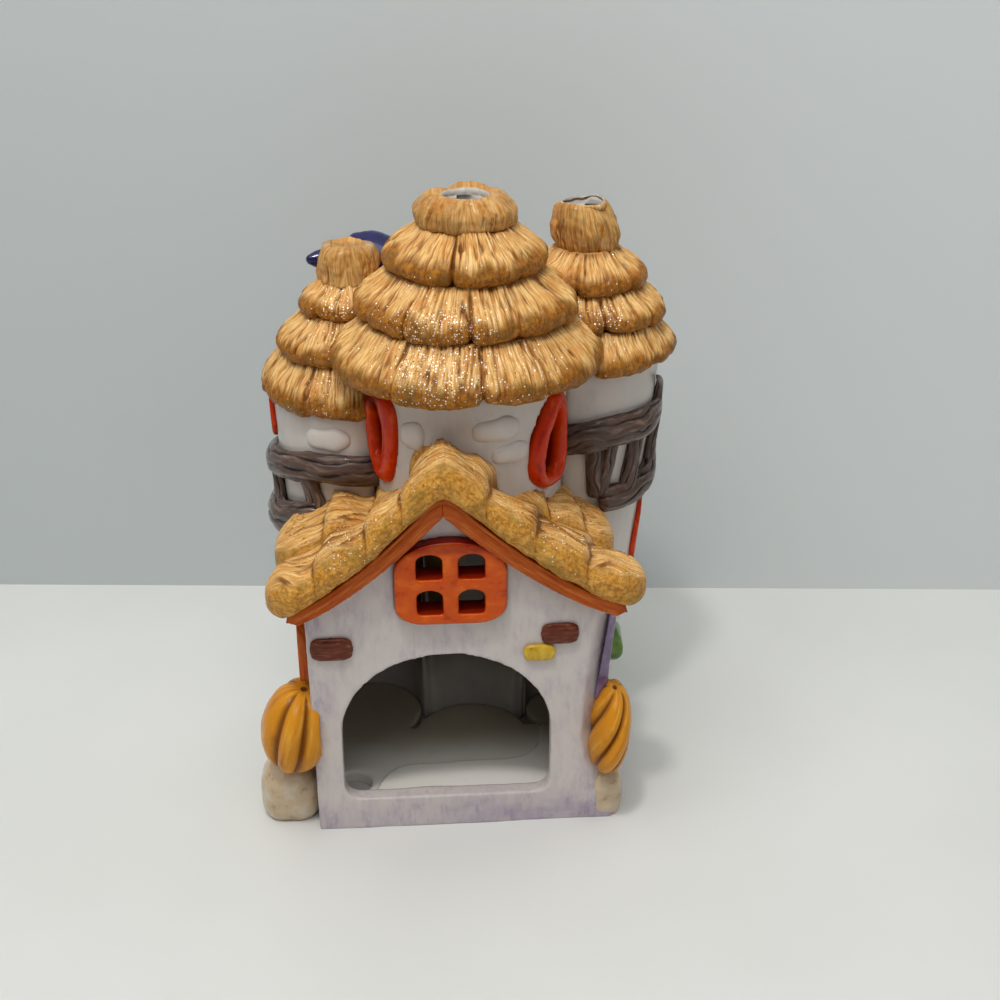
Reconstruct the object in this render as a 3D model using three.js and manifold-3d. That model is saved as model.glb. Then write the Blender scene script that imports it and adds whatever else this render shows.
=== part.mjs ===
// A glazed pottery candle house: a cottage with a thatched gable and three round towers behind it.
// Millimetres, +Z up, the front faces -Y. The origin is on the table, under the middle of the room.
// The walls and towers are one hollow, open through the arched mouth and up through the chimneys.

import * as THREE from 'three';
import { mergeVertices } from 'three/addons/utils/BufferGeometryUtils.js';
import Module from 'manifold-3d';

const wasm = await Module();
wasm.setup();

// Joints and walls
const GAP = 0.3;                 // joint line left between neighbouring pieces
const WALL = 4.2;                // cast wall of the house and of the towers
const FLOOR = 4;                 // thickness of the floor

// House block, seen from above: a straight front, and side walls that splay out towards the back
const BLOCK = { frontY: -35, width: 77.3, middleX: 0.45, depth: 44, leftSplay: 2.2, rightSplay: 3.6 };
const FRONT = BLOCK.frontY;
const BACK = FRONT + BLOCK.depth;
const LEFT = BLOCK.middleX - BLOCK.width / 2;
const RIGHT = BLOCK.middleX + BLOCK.width / 2;

// Right side wall at each height: how far it leans out, and how far its front corner is cut back
// at 45 degrees
const CORNER = [
  { z: 0, out: 0, cut: 1.2 }, { z: 6, out: 0, cut: 2 }, { z: 20, out: -1, cut: 4.9 },
  { z: 28, out: -1.2, cut: 5.7 }, { z: 46, out: -0.6, cut: 5.3 }, { z: 68, out: 1.2, cut: 5.1 },
];

// Arched mouth in the front wall
const MOUTH = { left: LEFT + 7.3, right: RIGHT - 14.9, sill: 9.6, spring: 31, crown: 54.5, corner: 5 };

// Gable roof: each slope falls steeply from the ridge and flattens towards its eave
const ROOF = {
  ridgeX: -3.3, ridgeZ: 112.4, eaveZ: 78.5, sweep: 1.5, thatch: 10.2,
  leftX: LEFT - 9.4, rightX: RIGHT + 8.5, frontY: FRONT - 8, seamY: FRONT + 10, backY: BACK - 8,
};
const BUNDLES = { count: 3, dip: 0.16, front: 1, rear: 0.9, tip: 2.4 };
const BARGE = { height: 6.2, tipHeight: 3.6, proud: 4.2, short: 6 };

// Window in the gable, a plug with four panes that fills a hole in the front wall
const WINDOW = {
  x: -1.7, width: 27.2, bottom: 65.3, shoulder: 80.2, top: 88, corner: 4, proud: 2.8,
  paneWidth: 7.2, paneHeight: 7.5, mullion: 3.3, transom: 2.5, paneZ: 76.3, paneRise: 2.2,
};

// Tower walls: leaning, tapered rings from the foot on the table to the head under the roof
const TOWERS = {
  centre: {
    foot: { x: 4.6, y: BACK - 10, r: 21.5 }, head: { x: 4.6, y: BACK - 9, r: 26 }, top: 120.7,
  },
  left: {
    foot: { x: LEFT + 13.7, y: BACK + 6, r: 19 }, head: { x: LEFT + 13.2, y: BACK + 8, r: 22 }, top: 108,
  },
  right: {
    foot: { x: RIGHT - 7.6, y: BACK + 3, r: 14 }, head: { x: RIGHT - 2.1, y: BACK + 8, r: 20.6 }, top: 118.2,
  },
};
const TOWER_SIDES = 28;
const PASSAGE_TOP = 60;

// Courses of thatch on each tower, from the skirt up: lip is the widest radius, bore the hollow's
// radius at the bottom, height the step up to the next course and turn the azimuth of one cleft
const COURSES = {
  centre: [
    { name: 'skirt', lip: 35.4, bore: 21.8, height: 12.9, droop: 0.6, lobes: 9, turn: 4 },
    { name: 'middle', lip: 28.2, bore: 19, height: 11.8, droop: 0, lobes: 9, turn: 0 },
    { name: 'upper', lip: 20.8, bore: 13, height: 11.5, droop: 0, lobes: 7, turn: -12 },
  ],
  left: [
    { name: 'skirt', lip: 25.3, bore: 17.8, height: 11.6, droop: 1.2, lobes: 8, turn: 10 },
    { name: 'middle', lip: 20.4, bore: 14, height: 10.3, droop: 0, lobes: 7, turn: -10 },
    { name: 'upper', lip: 14.2, bore: 8.2, height: 8.4, droop: 0, lobes: 6, turn: 20 },
  ],
  right: [
    { name: 'skirt', lip: 25.6, bore: 16.4, height: 8.8, droop: 1.2, lobes: 8, turn: 0 },
    { name: 'middle', lip: 21.4, bore: 14.5, height: 9, droop: 0, lobes: 7, turn: 8 },
    { name: 'upper', lip: 16.4, bore: 10.4, height: 9.3, droop: 0, lobes: 6, turn: -15 },
  ],
};
const SCALLOP = 0.06;            // depth of the clefts between lobes, as a share of the radius
const LOBE_STEPS = 4;            // facets on each lobe
const ROLL = 0.4;                // radius of a course's rolled rim, as a share of its height
const CHIMNEYS = {
  centre: { foot: 10.8, belly: 12.8, rim: 9.4, height: 7.8, bore: 5.4 },
  left: { foot: 7, belly: 8.5, rim: 7, height: 9.9, bore: 3.4 },
  right: { foot: 8.4, belly: 9, rim: 7.2, height: 12.7, bore: 5.2 },
};
const CHIMNEY_SIDES = 20;

// Left chimney top: a lid of clay with one open slot
const SLOT = { length: 5.6, width: 2.4, lid: 2, sunk: 1 };

// Pointed window frames, painted orange: open where they line a hole in the wall. The azimuth is
// measured round the tower from the front, and the drop from the tower's top down to the middle.
const FRAMES = [
  {
    name: 'centre_window_left', tower: 'centre', open: true,
    azimuth: -66, drop: 15.9, width: 12.4, height: 25,
  },
  {
    name: 'centre_window_right', tower: 'centre', open: true,
    azimuth: 51, drop: 16.6, width: 12.4, height: 26,
  },
  {
    name: 'left_tower_window', tower: 'left', open: false,
    azimuth: -98, drop: 7, width: 13, height: 15,
  },
  {
    name: 'right_tower_door', tower: 'right', open: false,
    azimuth: 94, drop: 57.2, width: 15, height: 34,
  },
];
const FRAME_BAND = 2.6;          // width of the painted band round each opening
const FRAME_PROUD = 1.6;         // how far the band stands out from its wall

// Balcony rails, laid against the tower walls. Each stop is an azimuth and a drop from the top. The
// top rails run on into the centre tower, which cuts them off.
const RAILS = [
  {
    name: 'left_top_rail', tower: 'left', thick: 4.6, high: 8,
    stops: [[40, 15.8], [16, 15], [-30, 14.5], [-90, 19.5], [-140, 21.5]],
  },
  {
    name: 'left_bottom_rail', tower: 'left', thick: 4.2, high: 8,
    stops: [[-24, 27.6], [-48, 32], [-90, 35], [-140, 36.4]],
  },
  {
    name: 'right_top_rail', tower: 'right', thick: 4.6, high: 8.6,
    stops: [[-44, 19.6], [-18, 18.7], [18, 16.7], [60, 17.2], [98, 12.2]],
  },
  {
    name: 'right_bottom_rail', tower: 'right', thick: 4.2, high: 7.4,
    stops: [[13, 36], [34, 36.4], [74, 34.2], [106, 28.2]],
  },
];

// Balusters between the rails: the azimuth and drop of each end
const BALUSTERS = [
  { name: 'left_baluster_1', tower: 'left', low: [-76, 34], high: [-76, 20] },
  { name: 'left_baluster_2', tower: 'left', low: [-27, 30], high: [-36, 16] },
  { name: 'right_baluster_1', tower: 'right', low: [7, 35.6], high: [6, 19] },
  { name: 'right_baluster_2', tower: 'right', low: [14, 35], high: [20, 17.5] },
  { name: 'right_baluster_3', tower: 'right', low: [39, 35], high: [42, 17] },
  { name: 'right_baluster_4', tower: 'right', low: [77, 33], high: [79, 17] },
];
const BALUSTER_R = 2.1;

// Reliefs on the front wall, each given by its middle, width and height
const BRICKS = [
  { name: 'brick_brown_left', x: LEFT + 6.1, z: 57.6, width: 11.2, height: 6.6, finish: 'brown' },
  { name: 'brick_brown_right', x: RIGHT - 13.1, z: 59.9, width: 10, height: 6, finish: 'brown' },
  { name: 'brick_yellow', x: RIGHT - 18.3, z: 54.4, width: 8.4, height: 4.6, finish: 'yellow' },
];
const BRICK_PROUD = 1.5;

// Pale stones that stand out of the tower walls
const STONES = [
  { name: 'centre_stone_1', tower: 'centre', azimuth: 13, drop: 7.4, width: 11.5, height: 6.4 },
  { name: 'centre_stone_2', tower: 'centre', azimuth: 18, drop: 14.4, width: 9.4, height: 5.2 },
  { name: 'centre_stone_3', tower: 'centre', azimuth: -33, drop: 8.1, width: 8, height: 6.6 },
  { name: 'left_stone', tower: 'left', azimuth: -14, drop: 5.9, width: 13, height: 6.4 },
];
const STONE = { proud: 1.6, sunk: 1.2 };

// Foot stones and the pumpkins on them, at the front corners: how far out of the side wall and
// back from the front wall the middle is, its height and the half sizes
const GARDEN = [
  {
    side: 'left', cornerX: LEFT, outwards: -1,
    stone: { out: 8, back: 8.5, z: 7.2, rx: 8.2, ry: 9, rz: 9.4 },
    pumpkin: {
      out: 3.2, back: 10, z: 28.6, rx: 11.6, ry: 11.4, rz: 13.6, lean: 6, ribs: 5, start: 11.5, twist: 0,
    },
  },
  {
    side: 'right', cornerX: RIGHT, outwards: 1,
    stone: { out: -0.6, back: 6, z: 5.8, rx: 5.6, ry: 8, rz: 8 },
    pumpkin: {
      out: 1.4, back: 4.4, z: 26.6, rx: 6.8, ry: 9, rz: 12.4, lean: 8, ribs: 5, start: 6.5, twist: 79,
    },
  },
];
const PUMPKIN = { groove: 0.18, dimple: 0.14, ribSteps: 4, rows: 10 };

// Reliefs on the side walls, drawn from the side: distances back from the front wall
const SHUTTER = { start: 1.8, end: 13, bottom: 38, top: 65, shoulder: 5, proud: 1.3 };
const SIDE_WINDOW = { start: 6, end: 24, bottom: 44, top: 62, shoulder: 6, proud: 2.6 };
const LEAF = { back: 27, z: 40.5, width: 11, height: 15, proud: 6.4 };

// Navy horn behind the left chimney: points from the left tower's head, with the radius there
const HORN = [
  { x: 16.5, y: 4.5, z: 28, r: 6.2 },
  { x: 10, y: 10, z: 31.5, r: 5 },
  { x: 2, y: 13, z: 34.4, r: 4.4 },
  { x: -6, y: 11.5, z: 35.4, r: 3 },
  { x: -11.5, y: 9, z: 36, r: 1.7 },
];
const HORN_STEPS = 9;
const HORN_SIDES = 8;

// Floor: drain hole by the left jamb and the pool of slip that set behind the sill
const DRAIN = { x: MOUTH.left + 1.6, y: FRONT + 14.7, r: 5.2 };
const POOL = {
  left: MOUTH.left + 8.4, right: RIGHT - WALL - 4, frontY: FRONT + WALL + 0.6, backY: FRONT + 21.2,
  innerX: MOUTH.right + 1.2, endY: FRONT + 37, height: 1.4, corner: 5,
};

// Finishes: colour, roughness and metalness
const FINISHES = {
  wall: [0xdcd6e0, 0.3, 0], stone: [0xe4dfe2, 0.3, 0], thatch: [0xc98f45, 0.4, 0],
  orange: [0xc4521a, 0.25, 0], rail: [0x4a4040, 0.35, 0], brown: [0x55251a, 0.3, 0],
  yellow: [0xc8aa28, 0.3, 0], pumpkin: [0xd08a26, 0.3, 0], foot: [0xbeaa98, 0.4, 0],
  purple: [0x5f466e, 0.35, 0], leaf: [0x557d32, 0.35, 0], navy: [0x24245a, 0.15, 0],
  inside: [0xd8d2c4, 0.25, 0],
};

const SPAN = 400;                // wider than the whole object, for blocks that only cut
const { degToRad, lerp } = THREE.MathUtils;
const { Manifold, Mesh } = wasm;
const towerNames = Object.keys(TOWERS);
const luminary = new THREE.Group();

/** Turns a closed geometry into a solid that can be cut and joined, with its faces outwards. */
function solid(geometry) {
  geometry.deleteAttribute('normal');
  geometry.deleteAttribute('uv');
  const merged = mergeVertices(geometry, 1e-4);
  const corners = merged.index.array;
  const triangles = [];
  for (let i = 0; i < corners.length; i += 3) {
    const [a, b, c] = corners.slice(i, i + 3);
    if (a !== b && b !== c && c !== a) triangles.push([a, b, c]);
  }
  const vertProperties = merged.attributes.position.array;
  const build = (list) => new Manifold(new Mesh({
    numProp: 3, vertProperties, triVerts: new Uint32Array(list.flat()),
  }));
  const made = build(triangles);
  return made.volume() > 0 ? made : build(triangles.map(([a, b, c]) => [a, c, b]));
}

/** All the solids of a list as one. */
function joined(solids) {
  return solids.reduce((all, one) => all.add(one));
}

/** The largest body of a cut solid, without the slivers that a cut can leave beside it. */
function largest(cut) {
  return cut.decompose().reduce((a, b) => (b.volume() > a.volume() ? b : a));
}

/** Names a finished solid and puts it in the model. */
function add(name, cut, finish) {
  const { vertProperties, triVerts } = largest(cut).getMesh();
  const geometry = new THREE.BufferGeometry();
  geometry.setAttribute('position', new THREE.BufferAttribute(vertProperties, 3));
  geometry.setIndex(new THREE.BufferAttribute(triVerts, 1));
  geometry.computeVertexNormals();
  const [color, roughness, metalness] = FINISHES[finish];
  const mesh = new THREE.Mesh(geometry, new THREE.MeshStandardMaterial({ color, roughness, metalness }));
  mesh.name = name;
  luminary.add(mesh);
}

/** A block between two corners. */
function block(low, high) {
  const size = new THREE.Vector3().subVectors(high, low);
  const middle = new THREE.Vector3().addVectors(low, high).multiplyScalar(0.5);
  return solid(new THREE.BoxGeometry(...size.toArray()).translate(...middle.toArray()));
}

/** Everything between two heights. */
function layer(bottom, top) {
  return block(new THREE.Vector3(-SPAN, -SPAN, bottom), new THREE.Vector3(SPAN, SPAN, top));
}

/** Everything between two distances from front to back. */
function slice(fromY, toY) {
  return block(new THREE.Vector3(-SPAN, fromY, -SPAN), new THREE.Vector3(SPAN, toY, SPAN));
}

/** Everything on one side of the room's middle: -1 for the left and 1 for the right. */
function half(side) {
  const low = new THREE.Vector3(Math.min(0, side * SPAN), -SPAN, -SPAN);
  return block(low, new THREE.Vector3(Math.max(0, side * SPAN), SPAN, SPAN));
}

/** A shape drawn on the front, in X and Z, as a slab from fromY back to toY. */
function slab(shape, fromY, toY, curveSegments = 12) {
  const depth = toY - fromY;
  const geometry = new THREE.ExtrudeGeometry(shape, { depth, bevelEnabled: false, curveSegments });
  return solid(geometry.rotateX(Math.PI / 2).translate(0, toY, 0));
}

/** A closed skin over rings of points that all have the same count, with flat ends. */
function loft(rings) {
  const count = rings[0].length;
  const positions = rings.flat().flatMap((point) => point.toArray());
  const index = [];
  for (let ring = 0; ring < rings.length - 1; ring += 1) {
    for (let i = 0; i < count; i += 1) {
      const a = ring * count + i;
      const b = ring * count + ((i + 1) % count);
      index.push(a, b, b + count, a, b + count, a + count);
    }
  }
  const last = (rings.length - 1) * count;
  for (let i = 1; i < count - 1; i += 1) {
    index.push(0, i + 1, i, last, last + i, last + i + 1);
  }
  const geometry = new THREE.BufferGeometry();
  geometry.setAttribute('position', new THREE.Float32BufferAttribute(positions, 3));
  geometry.setIndex(index);
  return solid(geometry);
}

/** The house block, grown on every side, from below the floor to the height of the ridge. */
function blockSolid(grow) {
  const offset = 2 - Math.SQRT2;   // how much a 45 degree cut grows with each unit of growth
  const levels = CORNER.map(({ cut, ...level }) => ({ ...level, cut: Math.max(cut + grow * offset, GAP) }));
  const stacked = [{ ...levels[0], z: -FLOOR }, ...levels, { ...levels.at(-1), z: ROOF.ridgeZ }];
  return loft(stacked.map(({ z, out, cut }) => {
    const right = RIGHT + out + grow;
    return [
      new THREE.Vector3(LEFT - grow, FRONT - grow, z),
      new THREE.Vector3(right - cut, FRONT - grow, z),
      new THREE.Vector3(right, FRONT - grow + cut, z),
      new THREE.Vector3(right + BLOCK.rightSplay, BACK + grow, z),
      new THREE.Vector3(LEFT - BLOCK.leftSplay - grow, BACK + grow, z),
    ];
  }));
}

/** The thatch's upper surface, as a height over the table. */
function roofTop(x) {
  const eaveX = x < ROOF.ridgeX ? ROOF.leftX : ROOF.rightX;
  const up = Math.max(0, (eaveX - x) / (eaveX - ROOF.ridgeX));
  return ROOF.eaveZ + (ROOF.ridgeZ - ROOF.eaveZ) * up ** ROOF.sweep;
}

/** The thatch's lower surface. */
function roofUnder(x) {
  return roofTop(x) - ROOF.thatch;
}

/** Points along the underside of the roof from one X to another, the drop given at both ends. */
function undersidePoints(fromX, toX, fromDrop, toDrop = fromDrop, steps = 10) {
  return Array.from({ length: steps + 1 }, (_, i) => {
    const x = lerp(fromX, toX, i / steps);
    return new THREE.Vector2(x, roofUnder(x) - lerp(fromDrop, toDrop, i / steps));
  });
}

/** Everything under the roof: what the walls and the room are trimmed to. */
function underRoof() {
  const { leftX, rightX, ridgeX } = ROOF;
  const outline = [
    new THREE.Vector2(leftX, -FLOOR),
    new THREE.Vector2(rightX, -FLOOR),
    ...undersidePoints(rightX, ridgeX, GAP),
    ...undersidePoints(ridgeX, leftX, GAP).slice(1),
  ];
  return slab(new THREE.Shape(outline), FRONT - WALL, BACK + WALL);
}

/** The radius and middle of a tower at a height. */
function towerAt(tower, z) {
  const share = z / tower.top;
  return {
    x: lerp(tower.foot.x, tower.head.x, share),
    y: lerp(tower.foot.y, tower.head.y, share),
    r: lerp(tower.foot.r, tower.head.r, share),
  };
}

/** A tower filled solid between two heights, grown by a clearance or shrunk by a wall. */
function towerBody(tower, grow, bottom, top) {
  const low = towerAt(tower, bottom);
  const high = towerAt(tower, top);
  const geometry = new THREE.CylinderGeometry(high.r + grow, low.r + grow, top - bottom, TOWER_SIDES);
  geometry.rotateX(Math.PI / 2).translate(0, 0, (top + bottom) / 2);
  const position = geometry.attributes.position;
  for (let i = 0; i < position.count; i += 1) {
    const middle = towerAt(tower, position.getZ(i));
    position.setXY(i, position.getX(i) + middle.x, position.getY(i) + middle.y);
  }
  return solid(geometry);
}

/** Way between the hollows of the centre tower and a side tower, which keeps a whole wall between
 *  it and the cleft where their outsides meet, or null where they stand too far apart for one. */
function passage(name) {
  const from = TOWERS.centre.foot;
  const to = TOWERS[name].foot;
  const apart = Math.hypot(to.x - from.x, to.y - from.y);
  const along = (apart ** 2 + from.r ** 2 - to.r ** 2) / (2 * apart);
  const reach = Math.sqrt(Math.max(from.r ** 2 - along ** 2, 0)) - WALL;
  if (reach <= 0) return null;
  const geometry = new THREE.BoxGeometry(apart, 2 * reach, PASSAGE_TOP + FLOOR);
  geometry.translate(apart / 2, 0, (PASSAGE_TOP - FLOOR) / 2);
  geometry.rotateZ(Math.atan2(to.y - from.y, to.x - from.x));
  return solid(geometry.translate(from.x, from.y, 0));
}

/** A point against a tower, at an azimuth from the front and a distance out from its wall. */
function againstTower(tower, azimuth, drop, out) {
  const z = tower.top - drop;
  const { x, y, r } = towerAt(tower, z);
  const angle = degToRad(azimuth);
  return new THREE.Vector3(x + (r + out) * Math.sin(angle), y - (r + out) * Math.cos(angle), z);
}

/** A solid drawn with X along the wall, Y up and Z outwards, stood on a tower at an azimuth. */
function onTower(geometry, tower, azimuth, drop, out) {
  const angle = degToRad(azimuth);
  const along = new THREE.Vector3(Math.cos(angle), Math.sin(angle), 0);
  const up = new THREE.Vector3(0, 0, 1);
  const away = new THREE.Vector3(Math.sin(angle), -Math.cos(angle), 0);
  const place = new THREE.Matrix4().makeBasis(along, up, away);
  place.setPosition(againstTower(tower, azimuth, drop, out));
  return solid(geometry.applyMatrix4(place));
}

/** A pointed oval, the meeting of two round arcs, grown on every side. */
function pointedOval(width, height, grow, x = 0, y = 0) {
  const across = width / 2 + grow;
  const tip = height / 2 + grow;
  const offset = (tip ** 2 - across ** 2) / (2 * across);
  const turn = Math.atan2(tip, offset);
  const shape = new THREE.Shape();
  shape.absarc(x - offset, y, offset + across, -turn, turn, false);
  shape.absarc(x + offset, y, offset + across, Math.PI - turn, Math.PI + turn, false);
  return shape;
}

/** A pointed oval as a plug through a tower's wall. */
function ovalPlug(frame, grow) {
  const depth = WALL * 3;
  const shape = pointedOval(frame.width, frame.height, grow);
  const geometry = new THREE.ExtrudeGeometry(shape, { depth, bevelEnabled: false, curveSegments: 4 });
  return onTower(geometry, TOWERS[frame.tower], frame.azimuth, frame.drop, -depth / 2);
}

/** The space that a tower frame fills, grown by the joint line. */
function frameClear(frame) {
  const tower = TOWERS[frame.tower];
  const z = tower.top - frame.drop;
  const skin = towerBody(tower, FRAME_PROUD + GAP, z - frame.height, z + frame.height);
  return ovalPlug(frame, GAP).intersect(skin);
}

/** The gable window's outline: upright sides, round lower corners and a flat arch on top. */
function windowShape(grow) {
  const { x, width, bottom, shoulder, top, corner } = WINDOW;
  const across = width / 2 + grow;
  const low = bottom - grow;
  const shape = new THREE.Shape();
  shape.moveTo(x - across + corner, low);
  shape.lineTo(x + across - corner, low);
  shape.quadraticCurveTo(x + across, low, x + across, low + corner);
  shape.lineTo(x + across, shoulder);
  shape.absellipse(x, shoulder, across, top - shoulder + grow, 0, Math.PI, false);
  shape.lineTo(x - across, low + corner);
  shape.quadraticCurveTo(x - across, low, x - across + corner, low);
  return shape;
}

/** One pane with a low arched top, by its lower left corner. */
function paneShape(left, bottom) {
  const { paneWidth, paneHeight, paneRise } = WINDOW;
  const side = bottom + paneHeight - paneRise;
  const shape = new THREE.Shape();
  shape.moveTo(left, bottom);
  shape.lineTo(left + paneWidth, bottom);
  shape.lineTo(left + paneWidth, side);
  shape.absellipse(left + paneWidth / 2, side, paneWidth / 2, paneRise, 0, Math.PI, false);
  return shape;
}

/** The gable window as a solid plug, grown by a clearance. */
function windowPlug(grow) {
  return slab(windowShape(grow), FRONT - WINDOW.proud - grow, FRONT + WALL + grow, 5);
}

/** The arched mouth: rounded lower corners, upright jambs and half an ellipse above them. */
function mouthShape() {
  const { left, right, sill, spring, crown, corner } = MOUTH;
  const shape = new THREE.Shape();
  shape.moveTo(left + corner, sill);
  shape.lineTo(right - corner, sill);
  shape.quadraticCurveTo(right, sill, right, sill + corner);
  shape.lineTo(right, spring);
  shape.absellipse((left + right) / 2, spring, (right - left) / 2, crown - spring, 0, Math.PI, false);
  shape.lineTo(left, sill + corner);
  shape.quadraticCurveTo(left, sill, left + corner, sill);
  return shape;
}

/** A ball squared off a little, so that it reads as a boulder or a brick, grown on every side. */
function pebble({ x, y, z, rx, ry, rz }, grow = 0, wide = 12, high = 8, bulge = 0.8) {
  const geometry = new THREE.SphereGeometry(1, wide, high).rotateX(Math.PI / 2);
  const position = geometry.attributes.position;
  const swell = (value) => Math.sign(value) * Math.abs(value) ** bulge;
  for (let i = 0; i < position.count; i += 1) {
    position.setXYZ(
      i,
      x + (rx + grow) * swell(position.getX(i)),
      y + (ry + grow) * swell(position.getY(i)),
      z + (rz + grow) * swell(position.getZ(i)),
    );
  }
  return solid(geometry);
}

/** A pumpkin: a ball drawn in along its grooves and dimpled at both ends, leaning outwards. Its ribs
 *  start at an angle from +X, and twist gives how many degrees they wind from the middle to the top. */
function pumpkinSolid({ x, y, z, rx, ry, rz, lean, ribs, start, twist }, grow = 0) {
  const { groove, dimple, ribSteps, rows } = PUMPKIN;
  const geometry = new THREE.SphereGeometry(1, ribs * ribSteps, rows).rotateX(Math.PI / 2);
  const position = geometry.attributes.position;
  for (let i = 0; i < position.count; i += 1) {
    const turn = Math.atan2(position.getY(i), position.getX(i));
    const around = Math.hypot(position.getX(i), position.getY(i));
    const rib = Math.abs(Math.sin((turn * ribs) / 2));
    const radius = around * (1 - groove * (1 - rib) * around);
    const sink = 1 - dimple * (1 - around) ** 2;
    const angle = turn + degToRad(start + twist * position.getZ(i));
    position.setX(i, (rx + grow) * radius * Math.cos(angle));
    position.setY(i, (ry + grow) * radius * Math.sin(angle));
    position.setZ(i, (rz + grow) * sink * position.getZ(i));
  }
  return solid(geometry.rotateY(degToRad(lean)).translate(x, y, z));
}

/** Turns a garden piece's distances from its corner into a place. */
function atCorner({ cornerX, outwards }, { out, back, ...piece }) {
  return { ...piece, x: cornerX + outwards * out, y: FRONT + back };
}

const bodies = Object.fromEntries(towerNames.map((name) => {
  const tower = TOWERS[name];
  return [name, {
    outside: towerBody(tower, 0, 0, tower.top),
    clear: towerBody(tower, GAP, -GAP, tower.top + GAP),
    hollow: towerBody(tower, -WALL, -FLOOR, tower.top + FLOOR),
  }];
}));
const towersClear = joined(towerNames.map((name) => bodies[name].clear));
const roofVoid = underRoof();
const room = blockSolid(-WALL).intersect(roofVoid);
const passages = ['left', 'right'].map(passage).filter(Boolean);
const hollow = joined([room, ...passages, ...towerNames.map((name) => bodies[name].hollow)]);
const houseClear = blockSolid(GAP).intersect(roofVoid);
const framesClear = joined(FRAMES.map(frameClear));

/** The courses of a tower's roof, each with the radii that it takes from its neighbours, and the
 *  heights that they and the chimney are seated at. */
function courseStack(name) {
  const chimney = CHIMNEYS[name];
  let seat = TOWERS[name].top + GAP;
  const courses = COURSES[name].map((course, i) => {
    const above = COURSES[name][i + 1];
    const neck = above ? above.lip - ROLL * above.height : chimney.foot + GAP;
    const upperBore = above ? above.bore : chimney.bore + 1.5;
    const rolled = course.lip - ROLL * course.height;
    const tuck = course.droop ? Math.max(rolled, TOWERS[name].head.r + GAP) : rolled;
    const placed = { ...course, seat, tuck, neck, upperBore };
    seat += course.height;
    return placed;
  });
  return { courses, chimneySeat: seat };
}

/** A course's outside from the underside of its rolled rim up to its neck: radius, height, follow. */
function courseOutline({ lip, tuck, neck, seat, height, droop }) {
  const roll = ROLL * height;
  const across = lip - tuck;
  const low = seat - droop;
  const top = seat + height - GAP;
  const rim = [-60, -8, 44].map((degrees) => {
    const angle = degToRad(degrees);
    return [tuck + across * Math.cos(angle), low + roll + roll * Math.sin(angle), 1];
  });
  const [shoulderR, shoulderZ] = rim.at(-1);
  const swell = 0.05 * height;
  const flank = [lerp(shoulderR, neck, 0.55) + swell, lerp(shoulderZ, top, 0.55) + swell, 0.9];
  return [...rim, flank, [neck, top, 0.4]];
}

/** One course: a revolved profile, its outside drawn in along the clefts between the lobes. */
function courseSolid(tower, course) {
  const { bore, tuck, upperBore, seat, height, droop, lobes, turn } = course;
  const inner = droop ? tower.head.r + GAP : tuck - 1;
  const start = [bore, seat, 0];
  const under = droop ? [[inner, seat, 0], [inner, seat - droop, 0]] : [[inner, seat, 0]];
  const profile = [start, ...under, ...courseOutline(course), [upperBore, seat + height - GAP, 0], start];
  const points = profile.map(([r, z]) => new THREE.Vector2(r, z));
  const geometry = new THREE.LatheGeometry(points, lobes * LOBE_STEPS);
  const position = geometry.attributes.position;
  for (let i = 0; i < position.count; i += 1) {
    const angle = Math.atan2(position.getX(i), position.getZ(i));
    const cleft = 1 - Math.abs(Math.sin((angle * lobes) / 2));
    const [, , follow] = profile[i % profile.length];
    const draw = 1 - SCALLOP * cleft * follow;
    position.setX(i, position.getX(i) * draw);
    position.setZ(i, position.getZ(i) * draw);
  }
  geometry.rotateY(degToRad(turn)).rotateX(Math.PI / 2);
  return solid(geometry.translate(tower.head.x, tower.head.y, 0));
}

/** A tower's roof as a plain revolved solid without clefts, grown by the joint line. */
function roofEnvelope(name) {
  const { x, y } = TOWERS[name].head;
  return joined(courseStack(name).courses.map((course) => {
    const { seat, height, droop, lobes } = course;
    const outline = courseOutline(course).map(([r, z]) => new THREE.Vector2(r + GAP, z));
    const foot = new THREE.Vector2(0, seat - droop - GAP);
    const top = new THREE.Vector2(0, seat + height + GAP);
    const rim = new THREE.Vector2(outline[0].x, foot.y);
    const collar = new THREE.Vector2(outline.at(-1).x, top.y);
    const geometry = new THREE.LatheGeometry([foot, rim, ...outline, collar, top], lobes * LOBE_STEPS);
    geometry.rotateY(degToRad(course.turn)).rotateX(Math.PI / 2);
    return solid(geometry.translate(x, y, 0));
  }));
}

/** A chimney pot of thatch bound round a flue. */
function chimneySolid(name, seat) {
  const { foot, belly, rim, height, bore } = CHIMNEYS[name];
  const { x, y } = TOWERS[name].head;
  const top = seat + height;
  const profile = [
    [bore, seat], [foot, seat], [belly, seat + 0.25 * height], [belly, seat + 0.5 * height],
    [lerp(belly, rim, 0.4), seat + 0.85 * height], [rim, top], [bore + 0.7, top],
    [bore, top - 1], [bore, seat],
  ];
  const points = profile.map(([r, z]) => new THREE.Vector2(r, z));
  const geometry = new THREE.LatheGeometry(points, CHIMNEY_SIDES);
  return solid(geometry.rotateX(Math.PI / 2).translate(x, y, 0));
}

/** The lid in the left chimney, with its slot. */
function slottedLid(seat) {
  const { x, y } = TOWERS.left.head;
  const { height, bore } = CHIMNEYS.left;
  const z = seat + height - SLOT.sunk - SLOT.lid / 2;
  const disc = new THREE.CylinderGeometry(bore + GAP, bore + GAP, SLOT.lid, CHIMNEY_SIDES);
  const slot = new THREE.BoxGeometry(SLOT.length, SLOT.width, SLOT.lid * 2);
  return solid(disc.rotateX(Math.PI / 2).translate(x, y, z)).subtract(solid(slot.translate(x, y, z)));
}

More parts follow.
